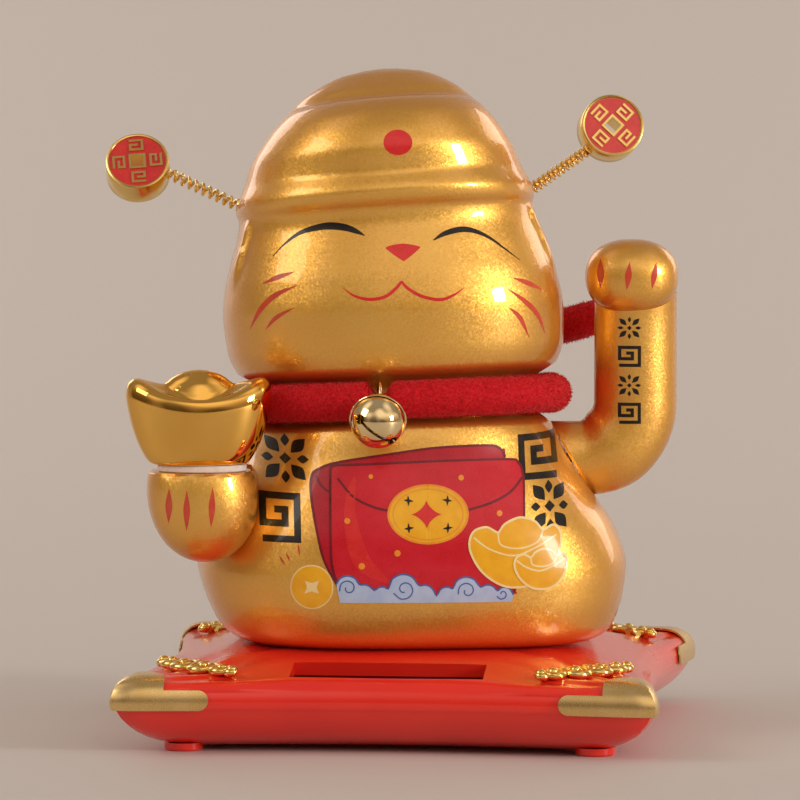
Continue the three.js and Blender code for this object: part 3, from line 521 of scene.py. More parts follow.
RED_LEAD = finish_material(
    "red_lead", "red_lead", (0.5, 0.015, 0.015), (0.6, 0.02, 0.02), 0.4, blotch=1)
BLACK_LEAD = finish_material(
    "black_lead", "black_lead", (0.01, 0.01, 0.01), (0.02, 0.02, 0.02), 0.4, blotch=1)
BLACK_INK = ink("black_print", (0.006, 0.005, 0.005), (0.018, 0.012, 0.008))
RED_INK = ink("red_print", (0.66, 0.018, 0.02), (0.72, 0.03, 0.03))
CLAW_INK = ink("claw_print", (0.62, 0.06, 0.03), (0.68, 0.09, 0.04))
PURSE_INK = ink("purse_print", (0.60, 0.008, 0.02), (0.64, 0.014, 0.028))
REAR_INK = ink("rear_purse_print", (0.46, 0.006, 0.02), (0.50, 0.01, 0.025))
DARK_INK = ink("dark_red_line_print", (0.16, 0.006, 0.014), (0.20, 0.01, 0.02))
YELLOW_INK = ink("yellow_print", (0.86, 0.40, 0.01), (0.92, 0.47, 0.02))
ORANGE_INK = ink("orange_print", (0.85, 0.26, 0.02), (0.9, 0.32, 0.04))
PALE_INK = ink("pale_gold_print", (0.93, 0.70, 0.30), (0.96, 0.76, 0.38))
SKY_INK = ink("pale_blue_print", (0.42, 0.53, 0.78), (0.50, 0.60, 0.83))
BLUE_INK = ink("blue_line_print", (0.06, 0.11, 0.36), (0.09, 0.15, 0.42))


# ------------------------------------------------------------------ the figure's surface
# Height, half width, depth in front of and behind the middle line, squareness of the
# outline (2 is an ellipse), and how much the level rises towards the front.
FIGURE_LEVELS = [
    (18.1, 33.6, 28.0, 28.0, 3.0, 0),
    (19.3, 35.9, 30.2, 30.2, 3.0, 0),
    (22.0, 38.0, 31.8, 31.6, 2.9, 0),
    (27.0, 39.8, 33.2, 32.8, 2.8, 0),
    (32.0, 40.6, 33.7, 33.0, 2.7, 0),
    (38.0, 39.0, 33.4, 32.2, 2.6, 0.01),
    (45.0, 34.9, 31.9, 30.2, 2.5, 0.02),
    (52.0, 30.6, 29.6, 28.0, 2.4, 0.04),
    (57.7, 28.2, 27.9, 26.4, 2.3, 0.07),
    (59.1, 26.4, 25.4, 24.5, 2.3, 0.07),
    (60.7, 24.7, 23.2, 22.3, 2.3, 0.07),
    (62.9, 24.1, 22.6, 21.6, 2.3, 0.07),
    (65.1, 24.7, 23.2, 22.3, 2.3, 0.07),
    (66.7, 26.8, 25.3, 24.2, 2.3, 0.07),
    (68.7, 30.2, 27.7, 26.2, 2.35, 0.07),
    (73.0, 31.8, 29.0, 27.2, 2.4, 0.07),
    (79.5, 32.2, 29.5, 27.8, 2.4, 0.07),
    (85.0, 31.4, 28.6, 27.8, 2.4, 0.08),
    (91.0, 29.7, 26.8, 27.0, 2.35, 0.08),
    (96.5, 28.0, 25.2, 26.0, 2.3, 0.09),
    (98.2, 27.8, 25.4, 26.0, 2.3, 0.09),
    (99.6, 28.2, 26.9, 26.6, 2.3, 0.09),
    (101.5, 27.9, 27.6, 26.8, 2.3, 0.09),
    (103.4, 27.0, 26.8, 26.2, 2.3, 0.09),
    (104.8, 26.3, 25.9, 25.4, 2.25, 0.1),
    (108.4, 25.0, 26.1, 24.0, 2.2, 0.12),
    (111.2, 23.4, 25.0, 22.4, 2.2, 0.14),
    (114.0, 21.4, 22.6, 20.4, 2.2, 0.17),
    (116.2, 19.5, 19.4, 18.4, 2.15, 0.19),
    (117.3, 18.4, 16.9, 17.4, 2.1, 0.2),
    (117.8, 17.9, 14.8, 16.8, 2.1, 0.2),
    (118.1, 17.6, 12.9, 16.5, 2.1, 0.2),
    (120.6, 14.9, 9.7, 13.8, 2.1, 0.2),
    (122.8, 11.5, 6.7, 10.6, 2.0, 0.18),
    (124.4, 7.7, 4.0, 7.0, 2.0, 0.15),
    (125.2, 3.4, 1.7, 3.2, 2.0, 0.1),
    (125.4, 0.4, 0.2, 0.4, 2.0, 0.1),
]
LEVEL_HEIGHTS = [level[0] for level in FIGURE_LEVELS]
LEVEL_CURVES = [monotone_curve(LEVEL_HEIGHTS, [level[k] for level in FIGURE_LEVELS])
                for k in range(1, 6)]
FIGURE_BOTTOM = LEVEL_HEIGHTS[0]
FIGURE_TOP = LEVEL_HEIGHTS[-1]
LEAN = {"start": 1.0, "per_mm": 0.0725, "end": 110}
TILT_AT_TOP = 0.08
WALL = 1.6


def level_point(z, angle, half_width, front, back, squareness, rise):
    """A point of a level; angle 0 is straight ahead and 90 degrees is the cat's +X."""
    power = 2 / squareness
    side, ahead = math.sin(angle), math.cos(angle)
    depth = front if ahead > 0 else back
    x = half_width * math.copysign(abs(side) ** power, side)
    y = -depth * math.copysign(abs(ahead) ** power, ahead)
    lean = LEAN["start"] - LEAN["per_mm"] * (min(z, LEAN["end"]) - FIGURE_BOTTOM)
    tilt = TILT_AT_TOP * (z - FIGURE_BOTTOM) / (FIGURE_TOP - FIGURE_BOTTOM)
    return Vector((x + lean, y, z + tilt * x - rise * y))


def temple_ridge(z, angle):
    """The hat's ear flaps end in a soft upright ridge on each temple."""
    around = math.degrees(abs((angle + math.pi) % math.tau - math.pi))
    middle = 68 + (97 - z) * 0.35
    window = smooth_step(z, 84, 90) * (1 - smooth_step(z, 96, 98.5))
    step = smooth_step(around, middle - 2.2, middle + 0.6)
    fade = 1 - smooth_step(around, middle + 0.6, middle + 16)
    return 0.75 * window * step * fade


def figure_ring(z, inset=0, columns=216):
    half_width, front, back, squareness, rise = (curve(z) for curve in LEVEL_CURVES)
    inset = min(inset, front * 0.9)
    ring = []
    for angle in around(columns):
        grow = temple_ridge(z, angle) - inset
        ring.append(level_point(z, angle, half_width + grow, front + grow, back + grow,
                                squareness, rise))
    return ring


def figure_skin():
    """The figure's outside, with a row of points about every 0.6 mm."""
    heights = []
    for low, high in zip(LEVEL_HEIGHTS, LEVEL_HEIGHTS[1:]):
        steps = max(1, round((high - low) / 0.6))
        heights += [low + (high - low) * step / steps for step in range(steps)]
    return skin([figure_ring(z) for z in [*heights, FIGURE_TOP]])


def figure_hollow():
    """The room inside the figure's shells, with a flat floor."""
    low = FIGURE_BOTTOM + WALL
    rings = []
    for z in (low, 20.6, 25, 32, 45, 56.5, 60.7, 65.1, 69.5, 80, 92, 103, 110, 114.5):
        ring = figure_ring(z, WALL, 40)
        rings.append([Vector((p.x, p.y, max(p.z, low))) for p in ring])
    return skin(rings)


# ------------------------------------------------------------------ arms
ARM_PIVOT = joint_place("arm_swing")
FACE_TILT = math.radians(29)
JOINT_NORMAL = Vector((math.cos(FACE_TILT), 0, math.sin(FACE_TILT)))
FOREARM_X = 42.8
ELBOW_RADIUS = 10.7
WRIST_HEIGHT = 78
PAW_TOP = 51.4
PAW_SLANT = math.radians(-9)
SHOULDER = {"room": 9.2, "bearing": 3.1, "axle": 1.3, "reach": 25, "arm_wall": 3.4}


def on_axle(distance):
    return ARM_PIVOT + JOINT_NORMAL * distance


def arm_volume(inset=0):
    """The raised arm from inside the shoulder to the paw, shrunk by an inset."""
    root_z = ARM_PIVOT.z
    path = [Vector((x, 0, root_z)) for x in (17, 21, 25, 28)]
    for i in range(25):
        angle = i / 24 * math.pi / 2
        path.append(Vector((FOREARM_X - ELBOW_RADIUS * (1 - math.sin(angle)), 0,
                            root_z + ELBOW_RADIUS * (1 - math.cos(angle)))))
    path += [Vector((FOREARM_X, 0, z)) for z in (66, 70, 74, WRIST_HEIGHT)]
    path += [Vector((FOREARM_X, -0.3, 80.5)), Vector((FOREARM_X, -0.6, 83))]

    def radius(share):
        return 7.1 + 1.1 * smooth_step(share, 0.1, 0.45) - 0.4 * share - inset

    limb = tube(path, radius, 72 if inset == 0 else 24, squash=0.86)
    paw = ball((41.8, -2.4, 86), (8.8 - inset, 8 - inset, 7.1 - inset), 2.3)
    return carve(limb, ("UNION", paw))


def holding_arm(inset=0):
    path = smooth_path([(-26, -4, 44.5), (-34, -9, 44.2), (-39.2, -15, 43.8),
                        (-41.2, -22, 43.5)], 8)
    limb = tube(path, 8.2 - inset, 72 if inset == 0 else 24)
    paw = ball((0, 0, 0), (10.3 - inset, 10.5 - inset, 12.6 - inset), 2.1)
    hang = Matrix.Translation((-40.6, -23, 46.8)) @ Matrix.Rotation(PAW_SLANT, 4, "Y")
    arm = carve(limb, ("UNION", moved(paw, hang)))
    return cut_off(arm, (0, 0, PAW_TOP - inset), (0, 0, -1), ease=0 if inset else 0.5)


def body_shells():
    stub = cut_off(arm_volume(), on_axle(-GAP / 2), -JOINT_NORMAL)
    far_end = on_axle(SHOULDER["reach"])
    room = bar(on_axle(-GAP / 2), far_end, SHOULDER["room"], 96)
    inner_room = bar(on_axle(-WALL - 1.2), far_end, SHOULDER["room"], 48)
    hollow = carve(figure_hollow(), ("DIFFERENCE", inner_room),
                   ("UNION", holding_arm(WALL)))
    bearing_hole = bar(on_axle(-8), on_axle(2), SHOULDER["bearing"])
    shell = carve(figure_skin(), ("DIFFERENCE", room), ("UNION", stub),
                  ("UNION", holding_arm()), ("DIFFERENCE", hollow),
                  ("DIFFERENCE", bearing_hole))
    return halves(shell)


def arm_shells():
    outside = cut_off(arm_volume(), on_axle(GAP / 2), JOINT_NORMAL, ease=0.3)
    wall = SHOULDER["arm_wall"]
    hollow = cut_off(arm_volume(1.3), on_axle(wall), JOINT_NORMAL)
    hole = bar(on_axle(-2), on_axle(wall + 0.5), SHOULDER["axle"])
    return halves(carve(outside, ("DIFFERENCE", hollow), ("DIFFERENCE", hole)))


body_front, body_back = body_shells()
arm_front, arm_back = arm_shells()
BODY_SURFACE = BVHTree.FromPolygons([v.co for v in body_front.vertices],
                                    [p.vertices[:] for p in body_front.polygons])
ARM_SURFACE = BVHTree.FromPolygons([v.co for v in arm_front.vertices],
                                   [p.vertices[:] for p in arm_front.polygons])
add_piece("body_front", body_front, GOLD_PAINT, replaces="body_front_shell")
add_piece("body_back", body_back, GOLD_PAINT, replaces="body_back_shell")
add_piece("arm_front", arm_front, GOLD_PAINT, "arm", replaces="arm_front_shell")
add_piece("arm_back", arm_back, GOLD_PAINT, "arm", replaces="arm_back_shell")


# ------------------------------------------------------------------ base
BASE_SIDE = 46.5
CORNER_SPREAD = 0.1
CORNER_REACH = 70.8
RIM_HEIGHT = 14.2
DOME = {"height": 3.6, "start": 28, "end": 47}
BASE_WALL = 2.2
SLOT = {"width": 36, "depth": 7.6, "y": -40, "slope": math.radians(13)}
CELL_HEIGHT = 11.9
FOOT = {"x": 38.4, "y": 38.4, "radius": 3.7}
PAD_RADIUS = 14
CUSHION_EDGE = [(0.79, 1.2), (0.86, 2.3), (0.925, 4.2), (0.97, 6.5), (0.99, 8.2), (1, 9),
                (1, 10.6), (0.988, 12.2), (0.966, 13.3), (0.935, 14.0), (0.89, 14.2),
                (0.81, 14.2), (0.7, 14.2), (0.57, 14.2), (0.42, 14.2), (0.28, 14.2)]


def cushion_reach(angle):
    """Distance to the cushion's edge: hollow sides and drawn-out, rounded corners."""
    folded = angle - math.pi / 2 * round(angle / (math.pi / 2))
    drawn = BASE_SIDE / math.cos(folded) * (1 + CORNER_SPREAD * math.tan(folded) ** 2)
    blend = 1.2
    return -blend * math.log(math.exp(-drawn / blend) + math.exp(-CORNER_REACH / blend))


def dome_rise(x, y):
    """The seat of the figure: its outline is a square with well rounded corners."""
    distance = (x ** 4 + y ** 4) ** 0.25
    return DOME["height"] * (1 - smooth_step(distance, DOME["start"], DOME["end"]))


def pleat(x, y):
    """Folds that fan out of each corner of the cushion, fading towards its middle."""
    tip = Vector((math.copysign(49, x), math.copysign(49, y)))
    away = tip - Vector((x, y))
    fan = math.atan2(abs(away.y), abs(away.x)) - math.pi / 4
    distance = away.length
    window = smooth_step(distance, 6, 12) * (1 - smooth_step(distance, 18, 34))
    return 0.34 * window * math.cos(fan * 17)


def cushion_profile(angle, grow, steps=5, pleats=False):
    reach = cushion_reach(angle)
    knots = []
    for share, height in CUSHION_EDGE:
        distance = share * reach
        x, y = distance * math.cos(angle), distance * math.sin(angle)
        rise = dome_rise(x, y) if height > 12 else 0
        knots.append(Vector((distance, height + rise, 0)))
    line = smooth_path(knots, steps)
    outline = []
    for point, along in zip(line, directions(line)):
        outward = Vector((along.y, -along.x, 0))
        lift = grow
        if pleats and point.y > 12:
            lift += pleat(point.x * math.cos(angle), point.x * math.sin(angle))
        outline.append(point + outward * lift)
    return outline


def cushion(grow=0, columns=288, steps=5, pleats=False):
    """The base's cushion, grown outwards by some millimetres or shrunk."""
    angles = around(columns)
    profiles = [cushion_profile(angle, grow, steps, pleats) for angle in angles]
    return skin([[polar(p.x, angle, p.y) for p, angle in zip(row, angles)]
                 for row in zip(*profiles)])


def cushion_turned(profile):
    """A block with the cushion's outline; the profile gives shares of it and heights."""
    return skin([[polar(cushion_reach(angle) * share, angle, height)
                  for angle in around(144)] for share, height in profile])


def sloped_box(width, depth, height, z):
    low = (-width / 2, -depth / 2, -height / 2)
    shape = box_shape(low, [-part for part in low])
    place = Matrix.Translation((0, SLOT["y"], z)) @ Matrix.Rotation(SLOT["slope"], 4, "X")
    return moved(shape, place)


def add_base():
    room = sloped_box(SLOT["width"] + 3, SLOT["depth"] + 3, 1.8, CELL_HEIGHT)
    window = sloped_box(SLOT["width"], SLOT["depth"], 12, 16)
    cover = carve(cushion(pleats=True), ("DIFFERENCE", cushion(-BASE_WALL, 96, 2)),
                  ("DIFFERENCE", cushion_turned([(0.8, 0), (0.8, 6.5)])),
                  ("DIFFERENCE", window), ("DIFFERENCE", room))
    add_piece("base_cover", cover, RED_ABS, replaces="base_top", place=BASE)
    plate = cushion_turned([(0.1, 1.0), (0.77, 1.0), (0.785, 1.3), (0.785, 3), (0.775, 3),
                            (0.775, 5.2), (0.745, 5.2), (0.745, 2.8), (0.1, 2.8)])
    pad = bar((0, 0, 0), (0, 0, 1.5), PAD_RADIUS)
    wells = [("UNION", pad)]
    for corner in CORNERS.values():
        x, y = corner.x * FOOT["x"], corner.y * FOOT["y"]
        foot = turned([(0.01, 0), (FOOT["radius"] - 0.3, 0), (FOOT["radius"], 0.3),
                       (FOOT["radius"], 1.5), (0.01, 1.5)])
        wells.append(("UNION", moved(foot, Matrix.Translation((x, y, 0)))))
    for corner in CORNERS.values():
        x, y = corner * 29
        wells.append(("DIFFERENCE", bar((x, y, -1), (x, y, 2.2), 3.1)))
        wells.append(("DIFFERENCE", bar((x, y, 1), (x, y, 4), 1.5)))
    add_piece("base_plate", carve(plate, *wells), RED_ABS, replaces="base_tray", place=BASE)


def finger_bar(corner, along_x):
    """A round-ended prism that marks off one finger of a cap on a side of the base."""
    inner, outer, height, half = 34.3, 60, 10.4, 1.9
    outline = [(inner + half * math.cos(turn), height + half * math.sin(turn))
               for turn in half_turn(math.pi / 2)]
    outline += [(outer, height - half), (outer, height + half)]
    rings = []
    for depth in (38, outer):
        ring = []
        for length, z in outline:
            x, y = (length, depth) if along_x else (depth, length)
            ring.append(Vector((corner.x * x, corner.y * y, z)))
        rings.append(ring)
    return skin(rings)


def capsule(start, end, radius, low, high):
    """An upright block with a round-ended outline from start to end."""
    start, end = Vector(start), Vector(end)
    along = (end - start).normalized()
    across = Vector((-along.y, along.x))
    outline = [centre + (along * math.cos(turn) + across * math.sin(turn)) * radius
               for centre, first in ((end, -math.pi / 2), (start, math.pi / 2))
               for turn in half_turn(first)]
    return skin([[Vector((p.x, p.y, z)) for p in outline] for z in (low, high)])


def add_corner_caps():
    skin_solid = carve(cushion(0.7), ("DIFFERENCE", cushion(GAP)))
    for name, corner in CORNERS.items():
        tip = corner * 49
        leaf = capsule(tip, tip + corner * 6, 8.4, 8.5, 22)
        cutter = carve(leaf, ("UNION", finger_bar(corner, True)),
                       ("UNION", finger_bar(corner, False)))
        cap = carve(cutter, ("INTERSECT", skin_solid.copy()))
        add_piece(f"cap_{name}", cap, SATIN_GOLD, replaces=f"corner_cap_{name}",
                  place=BASE)


def cushion_top(x, y):
    return RIM_HEIGHT + dome_rise(x, y)


def spiral(centre, radius, turns, start, hand):
    """A scroll that winds in from its radius to a small eye."""
    steps = round(22 * turns)
    path = []
    for i in range(steps + 1):
        share = i / steps
        angle = start + hand * turns * share * math.tau
        size = radius * (1 - 0.8 * share)
        path.append(Vector(centre) + Vector((math.cos(angle), math.sin(angle))) * size)
    return path


CLOUD_SCROLLS = [
    # centre along and out, radius, turns, start angle in degrees, hand
    ((-2.9, 0.5), 2.9, 1.3, -60, 1),
    ((2.9, 0.5), 2.9, 1.3, 240, -1),
    ((-7.6, -0.3), 2.3, 1.2, -60, 1),
    ((7.6, -0.3), 2.3, 1.2, 240, -1),
    ((-10.4, -0.5), 1.1, 1.0, -30, 1),
    ((10.4, -0.5), 1.1, 1.0, 210, -1),
]


def add_clouds():
    for name, corner in CORNERS.items():
        outward = corner.normalized()
        across = Vector((-outward.y, outward.x))
        middle = outward * 51.5

        def on_cushion(along, out, lift):
            flat = middle + across * along + outward * out
            return Vector((flat.x, flat.y, cushion_top(flat.x, flat.y) + lift))

        parts = []
        for centre, radius, turns, start, hand in CLOUD_SCROLLS:
            flat = spiral(centre, radius, turns, math.radians(start), hand)
            path = [on_cushion(p.x, p.y, 0.7 + 0.5 * i / len(flat))
                    for i, p in enumerate(flat)]
            parts.append(tube(path, lambda share: 0.85 - 0.2 * share, 12))
            parts.append(ball(on_cushion(*centre, 1.4), (1.0, 1.0, 0.8), 2, 24, 16))
        stem = smooth_path([on_cushion(along, -1.9 + 0.3 * math.cos(along), 0.7)
                            for along in range(-9, 10, 2)], 4)
        parts.append(tube(stem, 0.6, 12))
        add_piece(f"scrolls_{name}", joined(*parts), BRIGHT_GOLD,
                  replaces=f"cloud_{name}", place=BASE)


add_base()
add_corner_caps()
add_clouds()


# ------------------------------------------------------------------ collar
COLLAR = {"radius": 3.8, "half_width": 29, "front": 27.5, "back": 27, "z": 62.9}
BELL_AROUND = math.radians(-8.4)
BELL_PINCH = 1.4
TAIL = [(-6, 28.3, 62.2), (5, 31.2, 65), (15, 29.8, 69.6), (25, 23.9, 73.5), (32, 18.4, 75.6),
        (37.5, 16.8, 77.2)]
TAIL_RADIUS = 3.6
PILE = {"per_mm2": 7, "length": 0.65, "width": 0.16, "root_depth": 0.55, "lean": 0.22,
        "core_depth": 0.3, "core_roughness": 0.16}


def collar_point(angle):
    return level_point(COLLAR["z"], angle, COLLAR["half_width"], COLLAR["front"],
                       COLLAR["back"], 2.3, 0.07)


def stem_radius(angle):
    away = (angle - BELL_AROUND + math.pi) % math.tau - math.pi
    near = math.exp(-(away * COLLAR["half_width"] / 1.7) ** 4)
    return COLLAR["radius"] - (COLLAR["radius"] - BELL_PINCH) * near


def fluffy_tube(path, radii, closed):
    """A pile-covered stem: its surface and the short fibres that stand out of it."""
    along = directions(path, closed)
    up = Vector((0, 0, 1))
    rings, fibres = [], ([], [])
    rng = random.Random(7)
    for i, centre in enumerate(path):
        out = along[i].cross(up).normalized()
        over = out.cross(along[i])
        ring = []
        for turn in around(40):
            way = out * math.cos(turn) + over * math.sin(turn)
            rough = PILE["core_roughness"] * noise.noise((centre + way * 3) * 1.1)
            ring.append(centre + way * (radii[i] - PILE["core_depth"] + rough))
        rings.append(ring)
        step = (path[(i + 1) % len(path)] - centre).length
        if not closed and i == len(path) - 1:
            step = 0
        count = round(step * math.tau * radii[i] * PILE["per_mm2"])
        for _ in range(count):
            turn = rng.uniform(0, math.tau)
            way = out * math.cos(turn) + over * math.sin(turn)
            depth = radii[i] - PILE["root_depth"]
            foot = centre + along[i] * rng.uniform(0, step) + way * depth
            sideways = way.cross(along[i])
            lean = (along[i] * rng.gauss(0, PILE["lean"])
                    + sideways * rng.gauss(0, PILE["lean"]))
            tip = foot + (way + lean) * PILE["length"] * rng.uniform(0.8, 1.25)
            half = sideways * PILE["width"] / 2
            if rng.random() < 0.5:
                half = along[i] * PILE["width"] / 2
            start = len(fibres[0])
            fibres[0].extend([foot - half, foot + half, tip])
            fibres[1].append((start, start + 1, start + 2))
    core = ring_skin(rings) if closed else skin(rings)
    return core, fibres


def add_collar():
    angles = around(420)
    loop = [collar_point(angle) for angle in angles]
    core, fibres = fluffy_tube(loop, [stem_radius(angle) for angle in angles], True)
    tail = smooth_path(TAIL, 16)
    tail_core, tail_fibres = fluffy_tube(tail, [TAIL_RADIUS] * len(tail), False)
    whole = carve(core, ("UNION", tail_core))
    add_piece("collar_stem", whole, CHENILLE, replaces="collar")
    add_piece("collar_pile", joined(fibres, tail_fibres), CHENILLE)


add_collar()


# ------------------------------------------------------------------ bell
BELL_RADIUS = 5.1
BELL_WALL = 0.5
BELL_DROP = math.radians(25)
BELL_ROLL = math.radians(28)
BELL_SLOT = {"angle": math.radians(47), "half_width": 0.28, "end_radius": 0.95}
EYE = {"radius": 1.15, "wire": 0.3}
HOOP = {"radius": 3.35, "wire": 0.35}
STEM = joint_place("bell_ring_turn")
BELL_EYE = joint_place("bell_sway")
BELL_AXIS = Vector((-0.15, -math.cos(BELL_DROP), -math.sin(BELL_DROP))).normalized()
BELL_CENTRE = BELL_EYE + BELL_AXIS * (EYE["radius"] + BELL_RADIUS - 0.2)


def arc(radius, low, high, steps):
    return [(radius * math.cos(a), radius * math.sin(a))
            for a in (low + (high - low) * i / steps for i in range(steps + 1))]


def torus(radius, wire):
    """A ring of round wire."""
    sides = 16
    profile = [(radius + r, z) for r, z in arc(wire, 0, math.tau * (1 - 1 / sides), sides - 1)]
    return turned(profile, 64)


def add_bell():
    turn = Vector((0, 0, -1)).rotation_difference(BELL_AXIS).to_matrix().to_4x4()
    place = Matrix.Translation(BELL_CENTRE) @ turn @ Matrix.Rotation(BELL_ROLL, 4, "Z")
    half_pi = math.pi / 2
    tiny = 0.002
    outer = arc(BELL_RADIUS, 0.07, half_pi - tiny, 28)
    inner = arc(BELL_RADIUS - BELL_WALL, half_pi - tiny, 0.03, 20)
    rolled = [(BELL_RADIUS - 0.1, 0.12), (BELL_RADIUS + 0.16, 0.14),
              (BELL_RADIUS + 0.24, 0.26), (BELL_RADIUS + 0.16, 0.4)]
    dome = turned([*inner, *rolled, *outer], 96)
    eye = moved(torus(EYE["radius"], EYE["wire"]), Matrix.Translation(
        (0, 0, BELL_RADIUS + EYE["radius"] - 0.2)) @ Matrix.Rotation(-BELL_ROLL, 4, "Z")
        @ Matrix.Rotation(half_pi, 4, "X"))
    add_piece("bell_dome", moved(joined(dome, eye), place), BELL_GOLD, "bell",
              replaces="bell_upper")
    outer = arc(BELL_RADIUS, -half_pi + tiny, -0.03, 28)
    inner = arc(BELL_RADIUS - BELL_WALL, -0.03, -half_pi + tiny, 20)
    cup = turned([*outer, *inner], 96)
    slot_end = BELL_RADIUS * math.sin(BELL_SLOT["angle"])
    depth = BELL_RADIUS * math.cos(BELL_SLOT["angle"])
    half = BELL_SLOT["half_width"]
    cuts = [("DIFFERENCE", box_shape((-slot_end, -half, -6), (slot_end, half, -1.5)))]
    for side in (-1, 1):
        way = Vector((side * slot_end, 0, -depth))
        cuts.append(("DIFFERENCE", bar(way * 0.6, way * 1.3, BELL_SLOT["end_radius"], 40)))
    cup = carve(cup, *cuts)
    cup.transform(place)
    add_piece("bell_cup", cup, BELL_GOLD, "bell", replaces="bell_lower")
    ring = moved(torus(HOOP["radius"], HOOP["wire"]), Matrix.Translation(STEM)
                 @ Matrix.Rotation(half_pi, 4, "Y"))
    add_piece("bell_hoop", ring, BELL_GOLD, "bell_hanger", replaces="bell_ring")


add_bell()


# ------------------------------------------------------------------ springs and coins
COIN = {"radius": 6, "thickness": 5.6, "hole": 1.15, "rim": 0.62, "recess": 0.35}
SPRING = {"radius": 0.92, "wire": 0.32, "in_hat": 2.2, "in_coin": 0.8}
SPRING_PITCH = {"left": 1.45, "right": 1.05}
COIN_FACING = {"left": Vector((-0.055, -0.832, 0.552)), "right": Vector((0.1, -0.957, 0.272))}
COIN_ROLL = {"left": math.radians(4), "right": math.radians(46)}


def helix(root, tip, pitch):
    """A coil from inside the hat's wall to inside the coin's edge."""
    along = (tip - root).normalized()
    across = along.orthogonal().normalized()
    other = along.cross(across)
    start = root - along * SPRING["in_hat"]
    length = (tip - start).length + SPRING["in_coin"]
    turns = length / pitch
    steps = round(turns * 20)
    path = []
    for i in range(steps + 1):
        share = i / steps
        angle = share * turns * math.tau
        path.append(start + along * length * share
                    + (across * math.cos(angle) + other * math.sin(angle))
                    * SPRING["radius"])
    return path


def coin_place(side):
    """Where a coin hangs and how it is turned; its face looks along its own +Z."""
    low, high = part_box(f"coin_{side}")
    centre = in_cat((low + high) / 2)
    facing = COIN_FACING[side].normalized()
    upright = Matrix.Rotation(math.pi / 2, 4, "X")
    turn = Vector((0, -1, 0)).rotation_difference(facing).to_matrix().to_4x4()
    return (Matrix.Translation(centre) @ turn @ upright
            @ Matrix.Rotation(COIN_ROLL[side], 4, "Z"))


COIN_MARK = [
    # a square scroll built of bars: left, near, right and far edge
    (-1.35, 4.25, 1.35, 4.7), (0.9, 2.75, 1.35, 4.25), (-1.35, 2.3, 1.35, 2.75),
    (-1.35, 2.75, -0.9, 3.75), (-0.9, 3.3, 0.3, 3.75),
]


def coin_relief():
    """A generic raised mark on each side of the hole of a coin's face."""
    parts = []
    for quarter in range(4):
        turn = Matrix.Rotation(quarter * math.pi / 2, 4, "Z")
        for left, near, right, far in COIN_MARK:
            parts.append(moved(box_shape((left, near, 0), (right, far, 0.24)), turn))
    return joined(*parts)


def add_coin(side):
    half = COIN["thickness"] / 2
    radius, rim, recess = COIN["radius"], COIN["rim"], COIN["recess"]
    edge = 0.28
    profile = [(0.01, -half + recess), (radius - rim, -half + recess),
               (radius - rim + 0.1, -half + 0.06), (radius - edge, -half),
               (radius - 0.08, -half + 0.1), (radius, -half + edge),
               (radius, half - edge), (radius - 0.08, half - 0.1), (radius - edge, half),
               (radius - rim + 0.1, half - 0.06), (radius - rim, half - recess),
               (0.01, half - recess)]
    drum = turned(profile, 120)
    hole = COIN["hole"]
    border = hole + 0.42
    frame_block = box_shape((-border, -border, -half + 0.04), (border, border, half - 0.04))
    square = box_shape((-hole, -hole, -half - 1), (hole, hole, half + 1))
    gold = carve(drum, ("UNION", frame_block), ("DIFFERENCE", square))
    place = coin_place(side)
    gold.transform(place)
    add_piece(f"coin_disc_{side}", gold, COIN_GOLD, f"coin_{side}",
              replaces=f"coin_{side}")
    low, high = half - recess + 0.01, half - recess + 0.06
    reach, edge = radius - rim - 0.04, border + 0.03
    disc = turned([(0.01, low), (reach, low), (reach, high), (0.01, high)], 96)
    block = box_shape((-edge, -edge, low - 1), (edge, edge, high + 1))
    for number in (0, 1):
        face = place @ Matrix.Rotation(number * math.pi, 4, "X")
        enamel = carve(disc, ("DIFFERENCE", block))
        enamel.transform(face)
        relief = moved(coin_relief(), face @ Matrix.Translation((0, 0, high)))
        add_piece(f"coin_enamel_{side}_{number}", enamel, COIN_RED, f"coin_{side}")
        add_piece(f"coin_relief_{side}_{number}", relief, COIN_GOLD, f"coin_{side}")
    root = joint_place(f"antenna_{side}_bob")
    tip = joint_place(f"coin_{side}_nod")
    wire = tube(helix(root, tip, SPRING_PITCH[side]), SPRING["wire"], 10)
    add_piece(f"spring_wire_{side}", wire, SPRING_GOLD, f"antenna_{side}",
              replaces=f"spring_{side}")


for side in ("left", "right"):
    add_coin(side)


# ------------------------------------------------------------------ ingot
INGOT = {"x": -41.3, "y": -25, "z": 52.8}
INGOT_LEVELS = [
    # half length, half depth, height, and how much higher the two ends are
    (8.4, 5.2, 0, 0), (9.3, 5.8, 0.4, 0), (10.4, 6.5, 1.8, 0.1), (11.6, 7.2, 4.0, 0.4),
    (12.6, 7.7, 6.4, 1.0), (13.3, 8.0, 8.6, 1.9), (13.6, 8.1, 10.2, 2.6),
    (13.3, 7.9, 11.6, 3.2), (12.4, 7.4, 12.3, 3.5), (11.2, 6.7, 12.4, 3.6),
    (9.6, 6.1, 12.0, 3.6), (7.9, 5.5, 11.9, 3.3), (6.7, 5.1, 12.4, 2.6),
    (6.0, 4.7, 13.6, 1.7), (5.0, 4.0, 15.2, 0.9), (3.5, 2.8, 16.6, 0.3),
    (1.8, 1.4, 17.4, 0), (0.05, 0.05, 17.6, 0),
]


